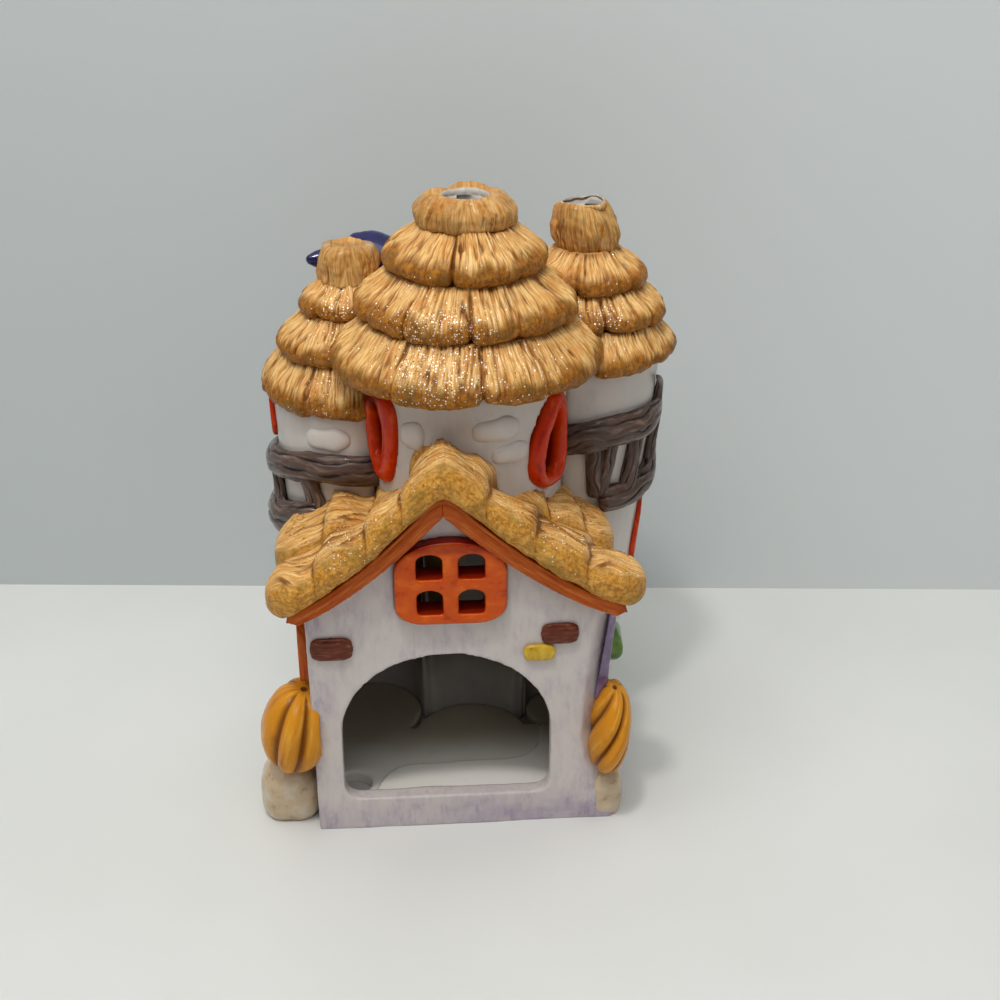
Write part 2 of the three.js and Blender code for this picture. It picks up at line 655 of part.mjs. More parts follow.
/** One course of one slope: a row of bundles lofted from the ridge down to the eave. */
function slopeCourse(side, fromY, toY, share) {
  const { count, dip, tip } = BUNDLES;
  const eaveX = side < 0 ? ROOF.leftX : ROOF.rightX;
  const startX = ROOF.ridgeX + (side * GAP) / 2;
  const steps = count * 4;
  const rings = [];
  for (let i = 0; i <= steps + 1; i += 1) {
    const end = i === steps + 1;
    const x = end ? eaveX : lerp(startX, eaveX - side * tip, i / steps);
    const bundle = end ? 0 : Math.abs(Math.sin((i / 4) * Math.PI));
    const high = ROOF.thatch * share * (1 - dip * (1 - bundle)) * (end ? 0.66 : 1);
    const low = end ? 0.22 * ROOF.thatch : 0;
    const front = fromY + 1.6 * (1 - bundle) + (end ? tip * 0.8 : 0);
    const back = toY - (end ? tip * 0.8 : 0);
    const section = [
      [front + 2.6, low], [front + 0.6, lerp(low, high, 0.14)], [front, lerp(low, high, 0.4)],
      [front + 0.8, lerp(low, high, 0.72)], [front + 3.2, lerp(low, high, 0.96)],
      [(front + back) / 2, high * 1.04], [back - 1, high * 0.97], [back, lerp(low, high, 0.7)], [back, low],
    ];
    rings.push(section.map(([y, z]) => new THREE.Vector3(x, y, roofUnder(x) + z)));
  }
  return loft(rings);
}

/** A barge board under the front edge of the thatch, lower at its outer end, which is cut round. */
function bargeBoard(side) {
  const { height, tipHeight, proud, short } = BARGE;
  const endX = side < 0 ? ROOF.leftX + short : ROOF.rightX - short;
  const startX = ROOF.ridgeX + (side * GAP) / 2;
  const upper = undersidePoints(startX, endX, GAP);
  const lower = undersidePoints(endX - side * tipHeight / 2, startX, GAP + tipHeight, GAP + height);
  const tip = new THREE.Vector2(endX + side * 0.8, upper.at(-1).y - tipHeight / 2);
  const shape = new THREE.Shape([...upper, tip, ...lower]);
  return slab(shape, FRONT - proud, FRONT - GAP).subtract(windowPlug(GAP));
}

/** A rail along its route, with an oval section grown by a clearance. */
function railSolid({ tower: name, thick, high, stops }, grow = 0) {
  const heights = new THREE.SplineCurve(stops.map((stop) => new THREE.Vector2(...stop)));
  const route = new THREE.Curve();
  route.getPoint = (t, target = new THREE.Vector3()) => {
    const { x: azimuth, y: drop } = heights.getPoint(t);
    return target.copy(againstTower(TOWERS[name], azimuth, drop, thick * 0.36));
  };
  const section = new THREE.Shape();
  section.absellipse(0, 0, high / 2 + grow, thick / 2 + grow, 0, 2 * Math.PI, false);
  const degreesPerStep = 14;
  const steps = Math.round(Math.abs(stops.at(-1)[0] - stops[0][0]) / degreesPerStep);
  return solid(new THREE.ExtrudeGeometry(section, { steps, extrudePath: route, curveSegments: 4 }));
}

/** A baluster between two points against a tower. */
function balusterSolid({ tower: name, low, high }, grow = 0) {
  const from = againstTower(TOWERS[name], ...low, BALUSTER_R * 0.5);
  const to = againstTower(TOWERS[name], ...high, BALUSTER_R * 0.5);
  const along = new THREE.Vector3().subVectors(to, from);
  const geometry = new THREE.CylinderGeometry(BALUSTER_R + grow, BALUSTER_R + grow, along.length(), 8);
  const turn = new THREE.Quaternion();
  turn.setFromUnitVectors(new THREE.Vector3(0, 1, 0), along.clone().normalize());
  const middle = from.clone().add(to).multiplyScalar(0.5);
  return solid(geometry.applyQuaternion(turn).translate(...middle.toArray()));
}

/** The horn: round sections square to its own route, the last one closing over the tip. */
function hornSolid() {
  const { head, top } = TOWERS.left;
  const route = new THREE.CatmullRomCurve3(
    HORN.map(({ x, y, z }) => new THREE.Vector3(head.x + x, head.y + y, top + z)),
  );
  const radii = new THREE.SplineCurve(HORN.map(({ r }, i) => new THREE.Vector2(i, r)));
  const up = new THREE.Vector3(0, 0, 1);
  const rings = [];
  for (let i = 0; i <= HORN_STEPS; i += 1) {
    const t = i / HORN_STEPS;
    const ahead = route.getTangent(t);
    const side = new THREE.Vector3().crossVectors(ahead, up).normalize();
    const over = new THREE.Vector3().crossVectors(side, ahead);
    const radius = radii.getPoint(t).y * (i === HORN_STEPS ? 0.5 : 1);
    rings.push(Array.from({ length: HORN_SIDES }, (_, k) => {
      const turn = (k / HORN_SIDES) * 2 * Math.PI;
      const point = route.getPoint(t).addScaledVector(side, radius * Math.cos(turn));
      return point.addScaledVector(over, radius * Math.sin(turn));
    }));
  }
  return loft(rings);
}

/** A relief on a side wall: the block's skin, grown by proud, under an outline drawn from the side. */
function sideRelief(shape, side, proud) {
  const depth = 2 * SPAN;
  const geometry = new THREE.ExtrudeGeometry(shape, { depth, bevelEnabled: false, curveSegments: 5 });
  const back = new THREE.Vector3(0, 1, 0);
  const up = new THREE.Vector3(0, 0, 1);
  const across = new THREE.Vector3(1, 0, 0);
  const place = new THREE.Matrix4().makeBasis(back, up, across).setPosition(-SPAN, FRONT, 0);
  const bar = solid(geometry.applyMatrix4(place)).intersect(half(side));
  return blockSolid(proud).subtract(blockSolid(GAP)).intersect(bar);
}

/** An opening's outline with upright sides and a round top, drawn in by inset on every side. */
function roundTopped({ start, end, bottom, top, shoulder }, inset = 0) {
  const left = start + inset;
  const right = end - inset;
  const crown = top - inset;
  const shape = new THREE.Shape();
  shape.moveTo(left, bottom + inset);
  shape.lineTo(right, bottom + inset);
  shape.lineTo(right, top - shoulder);
  shape.quadraticCurveTo(right, crown, (left + right) / 2, crown);
  shape.quadraticCurveTo(left, crown, left, top - shoulder);
  return shape;
}

/** Floor: the room and the towers' feet in plan, with the drain hole and the pool of slip. */
function addFloor() {
  const inset = -WALL - GAP;
  const feet = towerNames.map((name) => towerBody(TOWERS[name], inset, 0, FLOOR));
  const plate = joined([blockSolid(inset).intersect(layer(0, FLOOR)), ...feet]);
  const { left, right, innerX, frontY, backY, endY, height, corner } = POOL;
  const outline = new THREE.Shape();
  outline.moveTo(left, frontY);
  outline.lineTo(right, frontY);
  outline.lineTo(right, endY);
  outline.lineTo(innerX, endY);
  outline.quadraticCurveTo(innerX - 0.4, backY + 1, innerX - 2 * corner, backY);
  outline.lineTo(left + 2 * corner, backY - 1);
  outline.quadraticCurveTo(left + 0.6 * corner, backY - 1, left, frontY + corner);
  const depth = FLOOR / 2 + height;
  const pool = new THREE.ExtrudeGeometry(outline, { depth, bevelEnabled: false, curveSegments: 6 });
  const drain = new THREE.CylinderGeometry(DRAIN.r, DRAIN.r, FLOOR * 4, 20).rotateX(Math.PI / 2);
  const filled = plate.add(solid(pool.translate(0, 0, FLOOR / 2)));
  add('base_floor', filled.subtract(solid(drain.translate(DRAIN.x, DRAIN.y, 0))), 'inside');
}

/** House walls: the front with its mouth and window hole, and a wall on each side. */
function addHouseWalls() {
  const outside = blockSolid(0).intersect(roofVoid).intersect(layer(0, ROOF.ridgeZ));
  const mouth = slab(mouthShape(), FRONT - WALL, FRONT + 2 * WALL, 9);
  const front = outside.intersect(slice(FRONT - WALL, FRONT + WALL)).subtract(centreClear);
  add('house_front_wall', front.subtract(mouth).subtract(windowPlug(GAP)), 'wall');
  const behind = outside.intersect(slice(FRONT + WALL + GAP, BACK)).subtract(hollow).subtract(towersClear);
  add('house_left_wall', behind.intersect(half(-1)), 'wall');
  add('house_right_wall', behind.intersect(half(1)), 'wall');
}

/** Tower walls: the centre tower keeps its whole ring and the side towers are cut back to it. */
function addTowerWalls() {
  for (const name of towerNames) {
    let wall = bodies[name].outside.subtract(hollow);
    if (name !== 'centre') wall = wall.subtract(centreClear);
    for (const frame of FRAMES.filter((one) => one.tower === name && one.open)) {
      wall = wall.subtract(ovalPlug(frame, GAP));
    }
    add(`${name}_tower_wall`, wall, 'wall');
  }
}

/** Thatch on the gable: a front and a rear course on each slope, cut round the towers. */
function addGableRoof() {
  const { frontY, seamY, backY } = ROOF;
  const taken = joined([towersClear, framesClear, centreRoof]);
  for (const [label, side] of [['left', -1], ['right', 1]]) {
    const front = slopeCourse(side, frontY, seamY, BUNDLES.front);
    const rear = slopeCourse(side, seamY + GAP, backY, BUNDLES.rear);
    add(`gable_thatch_${label}_front`, front.subtract(taken), 'thatch');
    add(`gable_thatch_${label}_rear`, rear.subtract(taken), 'thatch');
    add(`barge_board_${label}`, bargeBoard(side).subtract(centreRoof), 'orange');
  }
}

/** Gable window: the plug with its four panes cut through. */
function addGableWindow() {
  const { x, paneWidth, paneHeight, mullion, transom, paneZ } = WINDOW;
  let frame = windowPlug(0);
  for (const left of [x - mullion / 2 - paneWidth, x + mullion / 2]) {
    for (const bottom of [paneZ - transom / 2 - paneHeight, paneZ + transom / 2]) {
      frame = frame.subtract(slab(paneShape(left, bottom), FRONT - 2 * WALL, FRONT + 2 * WALL, 4));
    }
  }
  add('gable_window', frame.subtract(centreClear), 'orange');
}

/** Tower roofs: stepped courses, and a chimney on top of each. The side roofs butt the centre one. */
function addTowerRoofs() {
  for (const name of towerNames) {
    const { courses, chimneySeat } = courseStack(name);
    const fitted = (piece) => (name === 'centre' ? piece : piece.subtract(centreClear));
    for (const course of courses) {
      const whole = courseSolid(TOWERS[name], course);
      add(`${name}_roof_${course.name}`, fitted(whole).subtract(framesClear), 'thatch');
    }
    const pot = chimneySolid(name, chimneySeat);
    add(`${name}_chimney`, fitted(name === 'left' ? pot.add(slottedLid(chimneySeat)) : pot), 'thatch');
  }
}

/** Pointed frames: open ones line a hole in the wall, the others lie on it. */
function addTowerFrames() {
  for (const frame of FRAMES) {
    const tower = TOWERS[frame.tower];
    const z = tower.top - frame.drop;
    const low = z - frame.height;
    const high = Math.min(z + frame.height, tower.top);
    const inner = frame.open ? -WALL : GAP;
    const shell = towerBody(tower, FRAME_PROUD, low, high)
      .subtract(towerBody(tower, inner, low - WALL, high + WALL));
    const band = ovalPlug(frame, 0).subtract(ovalPlug(frame, -FRAME_BAND)).intersect(shell);
    const others = towerNames.filter((name) => name !== frame.tower).map((name) => bodies[name].clear);
    add(frame.name, band.subtract(joined([centreRoof, ...others])), 'orange');
  }
}

/** Rails and balusters, seated on the tower walls and butted to each other. */
function addRails() {
  const taken = joined([towersClear, centreRoof, framesClear, slopesClear]);
  for (const rail of RAILS) add(rail.name, railSolid(rail).subtract(taken), 'rail');
  let filled = joined([taken, ...RAILS.map((rail) => railSolid(rail, GAP))]);
  for (const baluster of BALUSTERS) {
    add(baluster.name, balusterSolid(baluster).subtract(filled), 'rail');
    filled = filled.add(balusterSolid(baluster, GAP));
  }
}

/** Bricks on the front wall and stones on the towers. */
function addReliefs() {
  for (const { name, x, z, width, height, finish } of BRICKS) {
    const size = { x, y: FRONT, z, rx: width / 2, ry: BRICK_PROUD, rz: height / 2 };
    add(name, pebble(size, 0, 12, 6, 0.55).subtract(houseClear), finish);
  }
  for (const { name, tower, azimuth, drop, width, height } of STONES) {
    const geometry = new THREE.SphereGeometry(1, 12, 6);
    geometry.scale(width / 2, height / 2, STONE.proud + STONE.sunk);
    const stone = onTower(geometry, TOWERS[tower], azimuth, drop, -STONE.sunk);
    add(name, stone.subtract(joined([bodies[tower].clear, centreRoof, slopesClear])), 'stone');
  }
}

/** Foot stones on the table with the pumpkins on top of them, wrapped round the front corners. */
function addGarden() {
  const table = layer(-SPAN, 0);
  for (const corner of GARDEN) {
    const stone = atCorner(corner, corner.stone);
    const fruit = pumpkinSolid(atCorner(corner, corner.pumpkin));
    add(`foot_stone_${corner.side}`, pebble(stone).subtract(houseClear).subtract(table), 'foot');
    add(`pumpkin_${corner.side}`, fruit.subtract(houseClear).subtract(pebble(stone, GAP)), 'pumpkin');
  }
}

/** Shutter and leaf on the right wall, window frame on the left wall. */
function addSideReliefs() {
  const fruits = GARDEN.map((corner) => pumpkinSolid(atCorner(corner, corner.pumpkin), GAP));
  const taken = joined([towersClear, ...fruits]);
  const fitted = (shape, side, proud) => sideRelief(shape, side, proud).intersect(roofVoid).subtract(taken);
  const leaf = pointedOval(LEAF.width, LEAF.height, 0, LEAF.back, LEAF.z);
  add('side_shutter', fitted(roundTopped(SHUTTER), 1, SHUTTER.proud), 'purple');
  add('vine_leaf', fitted(leaf, 1, LEAF.proud), 'leaf');
  const frame = roundTopped(SIDE_WINDOW);
  frame.holes.push(roundTopped(SIDE_WINDOW, FRAME_BAND));
  add('side_window', fitted(frame, -1, SIDE_WINDOW.proud), 'orange');
}

/** The navy horn, seated on the back of the left roof. */
function addHorn() {
  const { belly, height } = CHIMNEYS.left;
  const { x, y } = TOWERS.left.head;
  const seat = courseStack('left').chimneySeat;
  const pot = new THREE.CylinderGeometry(belly + GAP, belly + GAP, 2 * height, CHIMNEY_SIDES);
  const potClear = solid(pot.rotateX(Math.PI / 2).translate(x, y, seat + height));
  add('navy_horn', hornSolid().subtract(joined([centreRoof, roofEnvelope('left'), potClear])), 'navy');
}

const centreRoof = roofEnvelope('centre');
const centreClear = centreRoof.add(bodies.centre.clear);
const slopes = joined([-1, 1].flatMap((side) => [
  slopeCourse(side, ROOF.frontY, ROOF.seamY, BUNDLES.front),
  slopeCourse(side, ROOF.seamY, ROOF.backY + GAP, BUNDLES.rear),
]));
const slopesClear = slopes.add(slopes.translate([0, 0, GAP]));

addFloor();
addHouseWalls();
addTowerWalls();
addGableRoof();
addGableWindow();
addTowerRoofs();
addTowerFrames();
addRails();
addReliefs();
addGarden();
addSideReliefs();
addHorn();

export default luminary;
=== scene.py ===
"""Ceramic house luminary: the glazed visual model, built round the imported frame.

Metres, +Z up and the mouth faces -Y. Sizes in the tables are in millimetres and angles are azimuths
in degrees, measured round a tower from the front towards +X.
"""

import math

import bpy
import numpy as np
from mathutils import Matrix, Vector


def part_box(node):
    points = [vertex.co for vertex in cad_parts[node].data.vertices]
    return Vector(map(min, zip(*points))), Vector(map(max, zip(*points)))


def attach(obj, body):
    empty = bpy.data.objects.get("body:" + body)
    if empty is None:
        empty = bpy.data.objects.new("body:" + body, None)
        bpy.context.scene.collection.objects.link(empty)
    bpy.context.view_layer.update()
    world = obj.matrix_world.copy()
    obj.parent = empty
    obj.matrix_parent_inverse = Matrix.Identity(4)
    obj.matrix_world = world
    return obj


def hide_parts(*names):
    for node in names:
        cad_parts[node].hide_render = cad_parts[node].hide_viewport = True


bl_info = {
    "name": "Ceramic House Luminary",
    "version": (1, 0, 0),
    "blender": (4, 5, 0),
    "location": "3D View > Sidebar > Luminary",
    "description": "A glazed pottery candle house with thatched towers",
    "category": "Add Mesh",
}

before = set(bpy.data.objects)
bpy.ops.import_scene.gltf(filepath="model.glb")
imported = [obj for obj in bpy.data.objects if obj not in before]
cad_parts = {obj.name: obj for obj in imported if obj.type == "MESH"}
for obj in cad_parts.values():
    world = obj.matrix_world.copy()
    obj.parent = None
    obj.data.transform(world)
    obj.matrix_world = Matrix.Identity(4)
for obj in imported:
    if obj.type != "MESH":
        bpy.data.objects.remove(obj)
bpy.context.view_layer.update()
MM = 0.001
STRAND_STEP = 0.25
STRANDS_ROUND = 7
CHIMNEY_STEPS = 320
FRAME_STEPS = 220
SLOPE_GRID = (152, 220)
RAIL_GRID = (96, 150)
BALUSTER_GRID = (72, 60)
STONE_BALL = dict(segments=96, ring_count=48)
PUMPKIN_BALL = dict(segments=200, ring_count=96)
FOOT_STONE_BALL = dict(segments=160, ring_count=80)
WELD = 0.0000002
CAD_WELD = 0.000002
BURN_REACH = 0.28

# Studio: lamps by place, size, power and tint, and the floor's, the backdrop's and the room's colours
LAMPS = {
    "key_softbox": dict(at=(-0.16, -0.24, 0.9), size=0.8, power=5.4, tint=(1.0, 0.99, 0.97)),
    "ceiling_lamp": dict(at=(-0.12, -0.3, 0.86), size=0.07, power=1.9, tint=(1.0, 0.98, 0.95)),
    "fill_softbox": dict(at=(0.4, -0.6, 0.45), size=0.6, power=0.35, tint=(1.0, 0.98, 0.96)),
}
LAMP_AIM = Vector((0, 0, 0.08))
TABLE_WHITES = ((217, 218, 214), (221, 222, 219))
# The backdrop's greys are painted light: darker on the left, lighter to the right
BACKDROP_SHADE_TO_LIGHT = ((194, 201, 202), (222, 227, 227))
BACKDROP = dict(location=(0.0197, 0.0939, 0.0), rotation=(math.radians(90), 0, math.radians(-4.6)))
STAGE_SIZE = 3.0
SENSOR_WIDTH = 36
STUDIO_AIR = (0.93, 0.95, 1.0, 1)
STUDIO_LEVEL = 0.2

# Brushed glazes: middle, light and dark streaks, the dark colour laid on where a piece's painted stain
# is strong (stain in the hollows on the rails and pumpkins, painted shade on the barge boards, the windows
# and the floor), how far the streaks stretch, the roughness and the coat
STREAKED = {
    "barge_board_glaze": (
        (192, 88, 24), (216, 124, 48), (150, 58, 12), (112, 30, 6), (0.9, 9.0, 1), 0.25, 0.6),
    "window_glaze": (
        (204, 50, 2), (222, 80, 8), (166, 30, 2), (96, 8, 2), (2.4, 7.0, 1), 0.16, 0.9),
    "gable_window_glaze": (
        (206, 80, 8), (224, 106, 22), (172, 52, 4), (120, 12, 2), (4.0, 7.0, 1), 0.14, 1.0),
    "inside_glaze": (
        (244, 240, 231), (250, 247, 241), (234, 229, 218), (200, 190, 164), (9, 9, 9), 0.1, 0.9),
    "brown_brick_glaze": (
        (100, 44, 26), (140, 84, 60), (62, 24, 14), (46, 16, 10), (3.4, 0.8, 1), 0.14, 0.9),
    "rail_glaze": (
        (88, 70, 62), (140, 118, 106), (54, 40, 36), (22, 16, 14), (1.3, 9.0, 1), 0.2, 1.3),
    "pumpkin_glaze": (
        (212, 140, 34), (228, 168, 66), (180, 104, 20), (104, 50, 12), (2.4, 14.0, 1), 0.25, 0.6),
}

# Glazes that broke in patches: middle, light and dark, the patches' size, the roughness and the coat
MOTTLED = {
    "stone_glaze": ((212, 205, 198), (218, 212, 206), (202, 195, 188), 9.0, 0.28, 0.5),
    "yellow_brick_glaze": ((206, 164, 30), (222, 188, 64), (166, 124, 14), 2.2, 0.28, 0.5),
    "shutter_glaze": ((104, 80, 122), (140, 118, 160), (72, 52, 88), 5.0, 0.28, 0.5),
    "leaf_glaze": ((88, 128, 54), (120, 156, 74), (58, 92, 36), 4.0, 0.28, 0.5),
    "navy_glaze": ((22, 22, 72), (34, 34, 94), (12, 12, 46), 6.0, 0.1, 0.7),
    "foot_stone_glaze": ((200, 178, 146), (212, 198, 176), (166, 138, 104), 5.0, 0.28, 0.5),
}

# Wall glazes: the white and the wash over it, the blue under the eaves, the grey flecks, the wash at the
# foot, and the room's painted shade in clay browns and the red round the windows, each in two colours
HOUSE_GLAZE = ((213, 204, 198), (146, 132, 160))
TOWER_GLAZE = ((212, 205, 197), (174, 163, 172))
EAVES_BLUE = (138, 118, 158)
GREY_FLECKS = (196, 184, 170)
FOOT_WASH = (158, 144, 170)
# Painted shade inside the room, in two clay browns
ROOM_SHADE_BROWNS = ((84, 66, 40), (58, 42, 20))
WINDOW_RED = ((92, 8, 4), (150, 34, 10))
BARE_WHITE = (194, 188, 180)

# Straw: dark, middle, light and bleached strands, and orange patches
STRAW = ((176, 104, 38), (204, 146, 72), (242, 200, 130), (255, 226, 168), (208, 130, 54))
# Brown where the straw's painted stain is strong: burnt grooves, and painted shade under rims and at joins
BROWN_STAIN_AND_SHADE = ((146, 82, 24), (100, 54, 14))
GLITTER_FOIL = ((92, 84, 66), (250, 246, 232))

# Colours of a rolled rim: dark and light flecks, pale patches and olive clouds
# The towers' rims are darker than the gable's, partly as painted shade on their downturned lips
TOWER_RIMS = ((112, 62, 4), (172, 104, 20), (206, 142, 46), (96, 66, 8))
GABLE_RIMS = ((156, 100, 26), (214, 152, 56), (240, 192, 98), (128, 98, 22))

# The flank of a course from its seat to its neck: how far in from the lip, as a share of the course's
# height and of its spread, and how high, as a share of its height
COURSE_FLANK = (
    (0.33, 0, 0), (0.16, 0, 0.03), (0.035, 0, 0.14), (0, 0, 0.31), (0, 0.08, 0.48), (0, 0.36, 0.69),
    (0, 0.72, 0.88),
)

# Thatch courses of the tower roofs: lip and neck radii, how far the rim droops below its seat, the
# azimuth and strength of each cleft between lobes, the seed of its strands and how dashed they are, and
# the azimuth of a burnt patch
COURSES = {
    "centre_roof_skirt": dict(
        lip=35.4, neck=26.9, bore=21.8, droop=0.6, seed=11, dashes=0.35, clefts=(
            (-34, 0.5), (4, 1.0), (32, 0.6), (66, 0.5), (102, 0.8), (140, 0.5), (178, 0.9), (-144, 0.6),
            (-107, 0.8), (-66, 0.5))),
    "centre_roof_middle": dict(
        lip=28.2, neck=19.6, bore=19.0, droop=0.0, seed=12, dashes=0.45, clefts=(
            (-36, 0.6), (0, 1.0), (25, 0.5), (60, 0.6), (98, 0.7), (138, 0.5), (178, 0.8), (-142, 0.6),
            (-106, 0.5), (-68, 0.5))),
    "centre_roof_upper": dict(
        lip=20.8, neck=11.8, bore=13.0, droop=0.0, seed=13, dashes=1.0, clefts=(
            (-12, 0.9), (40, 0.4), (92, 0.6), (142, 0.5), (-168, 0.7), (-118, 0.5), (-58, 0.3))),
    "left_roof_skirt": dict(
        lip=25.3, neck=19.1, bore=17.8, droop=1.2, seed=21, dashes=0.9, burn=26, clefts=(
            (12, 0.7), (55, 0.5), (100, 0.6), (145, 0.5), (-170, 0.7), (-125, 0.5), (-80, 0.5),
            (-30, 0.3))),
    "left_roof_middle": dict(
        lip=20.4, neck=13.1, bore=14.0, droop=0.0, seed=22, dashes=0.4, clefts=(
            (-10, 0.4), (41, 0.6), (93, 0.5), (144, 0.5), (-164, 0.6), (-113, 0.5), (-61, 0.4))),
    "left_roof_upper": dict(
        lip=14.2, neck=7.9, bore=8.2, droop=0.0, seed=23, dashes=0.4, clefts=(
            (24, 0.6), (80, 0.5), (140, 0.4), (-160, 0.6), (-100, 0.5), (-42, 0.4))),
    "right_roof_skirt": dict(
        lip=24.7, neck=19.6, bore=16.4, droop=1.2, seed=31, dashes=0.5, clefts=(
            (0, 0.5), (45, 0.4), (90, 0.6), (135, 0.5), (180, 0.6), (-135, 0.5), (-90, 0.5),
            (-45, 0.4))),
    "right_roof_middle": dict(
        lip=21.4, neck=15.2, bore=14.5, droop=0.0, seed=32, dashes=0.5, clefts=(
            (-34, 0.7), (8, 1.0), (50, 0.7), (100, 0.5), (150, 0.6), (-155, 0.5), (-95, 0.6))),
    "right_roof_upper": dict(
        lip=16.4, neck=9.0, bore=10.4, droop=0.0, seed=33, dashes=0.6, clefts=(
            (-15, 0.5), (45, 0.5), (105, 0.5), (165, 0.5), (-135, 0.5), (-75, 0.5))),
}

# Chimneys: radii at the foot, the belly and the rim, the flue's radius, and how far the rim leans
CHIMNEYS = {
    "centre_chimney": dict(foot=11.6, belly=12.8, rim=10.2, bore=5.3, lean=(0.0, 0.0), lid=False, seed=41),
    "left_chimney": dict(foot=8.8, belly=8.4, rim=6.5, bore=3.4, lean=(0.0, 0.0), lid=True, seed=42),
    "right_chimney": dict(foot=7.2, belly=8.9, rim=6.7, bore=5.0, lean=(-1.2, 0.0), lid=False, seed=43),
}

# Gable roof: the ridge and the eaves, as in the frame, the thatch's thickness, how round the ridge is
# and how far the slopes would run to the left and the right
GABLE = dict(
    ridge_x=-3.3, ridge_z=112.4, eave_z=78.5, sweep=1.5, thatch=10.2, round=2.6, spans=(44.3, 50.9))

# Slopes: the front and back edges and where each bundle ends. Lag is how far a bundle's end draws back
# up the slope at the rear, and sag how deep the straw dips by a tower
SLOPES = {
    "gable_thatch_left_front": dict(
        eave_x=-47.6, front=-43.0, back=-25.15, ends=(-13.6, -22.4, -35.2, -47.6),
        lag=3.6, sag=8.0, seed=51),
    "gable_thatch_right_front": dict(
        eave_x=47.6, front=-43.0, back=-25.15, ends=(7.4, 19.2, 32.0, 47.6),
        lag=-3.6, sag=1.5, seed=51),
    "gable_thatch_left_rear": dict(
        eave_x=-46.9, front=-24.85, back=1.0, ends=(-11.6, -22.0, -33.9, -46.9),
        lag=3.0, sag=8.6, seed=53),
    "gable_thatch_right_rear": dict(
        eave_x=42.4, front=-24.85, back=1.0, ends=(12.4, 24.5, 34.3, 42.4),
        lag=3.0, sag=2.4, seed=53),
}

# How far the topmost bundle dips on the left and right side, from where to where off the ridge, and from
# where to where behind the front
CROWN_DIPS = {-1: (3.4, (4.0, 10.6), (-42.0, -27.0)), 1: (-2.2, (5.0, 10.0), (-41.0, -28.0))}
RIDGE_OVERLAP = 0.8
RIDGE_TUCK = 0.15
EAVE_TONGUE = 3.4
EAVE_ROUND = 0.13

# Balcony rails and balusters: azimuth and height of each stop, the half sizes of the section and how
# thin the last end runs out
RAILS = {
    "left_top_rail": dict(tower="left", high=4.1, deep=2.7, thin=1.0, seed=61, stops=(
        (34, 92.2), (16, 92.8), (-30, 93.5), (-90, 88.5), (-140, 86.5))),
    "left_bottom_rail": dict(tower="left", high=5.2, deep=3.4, thin=1.0, seed=62, stops=(
        (-22, 80.2), (-48, 76.4), (-90, 73.0), (-140, 71.6))),
    "right_top_rail": dict(tower="right", high=4.3, deep=2.7, thin=0.16, seed=63, stops=(
        (-34, 98.9), (-18, 99.5), (18, 101.6), (50, 101.8), (74, 104.0), (74, 109.2), (58, 113.6))),
    "right_bottom_rail": dict(tower="right", high=3.8, deep=2.6, thin=1.0, seed=64, stops=(
        (12, 81.8), (34, 81.8), (74, 84.0), (106, 90.0))),
}
POST_PROUD = 0.9
POST_DEEP = 2.1
BALUSTERS = {
    "left_baluster_1": dict(tower="left", low=(-72, 74.0), high=(-76, 88.0), thick=1.9, seed=65),
    "left_baluster_2": dict(tower="left", low=(-27, 78.0), high=(-36, 92.0), thick=2.6, seed=66),
    "right_baluster_1": dict(tower="right", low=(9, 82.6), high=(4, 99.2), thick=2.3, seed=67),
    "right_baluster_2": dict(tower="right", low=(12, 83.2), high=(19, 100.7), thick=2.2, seed=68),
    "right_baluster_3": dict(tower="right", low=(38, 83.2), high=(43, 101.2), thick=2.5, seed=69),
    "right_baluster_4": dict(tower="right", low=(77, 85.2), high=(79, 101.2), thick=2.1, seed=70),
}

# Tower walls, as in the frame: middle and radius at the foot and at the head, and the height
TOWER_WALLS = {
    "centre": ((4.6, -1.0, 21.5), (4.6, 0.0, 26.0), 120.7),
    "left": ((-24.5, 15.0, 19.0), (-25.0, 17.0, 22.0), 108.0),
    "right": ((31.5, 12.0, 14.0), (37.0, 17.0, 20.6), 118.2),
}

# Window frames of the centre tower: azimuth and height of points round the band's outside and round
# its opening
FRAMES = {
    "centre_window_left": dict(
        outside=((-60, 119.0), (-50.5, 117.6), (-45.5, 113.4), (-46.2, 104.2), (-50.4, 96.4), (-57.6, 93.4),
                 (-67.5, 93.6), (-76, 97.0), (-80, 104), (-78, 112), (-71, 118)),
        inside=((-64, 114.8), (-60.4, 113.4), (-58.2, 109.0), (-58.6, 104.2), (-61.4, 100.6), (-66, 99.8),
                (-70.2, 101.8), (-71.6, 106), (-70.2, 111), (-67.4, 114)),
    ),
    "centre_window_right": dict(
        outside=((56, 118.4), (63.5, 116.2), (68, 111.4), (72, 102.6), (72.6, 95.6), (66, 92.4), (56, 91.6),
                 (45, 92.6), (36.2, 96.0), (34.4, 100.2), (37.2, 106.4), (44.8, 113.6), (50, 117.2)),
        inside=((58.4, 112.8), (60.6, 110.6), (61.8, 106.4), (62.2, 101.0), (60.8, 97.2), (55.2, 95.5),
                (49.2, 96.2), (46.2, 98.8), (47.2, 102.0), (49.6, 106.6), (53.8, 110.6)),
    ),
}

# Section of a frame's band: the share of the way from the opening to the outside, and how proud
FRAME_BAND = (
    (0.0, -4.6), (0.0, -3.2), (0.0, -1.8), (0.0, -0.6), (0.03, 0.4), (0.10, 1.1), (0.22, 1.6),
    (0.38, 1.85), (0.55, 1.9), (0.72, 1.7), (0.86, 1.3), (0.96, 0.7), (1.0, 0.0), (1.0, -1.2),
    (0.8, -3.0), (0.5, -4.6),
)

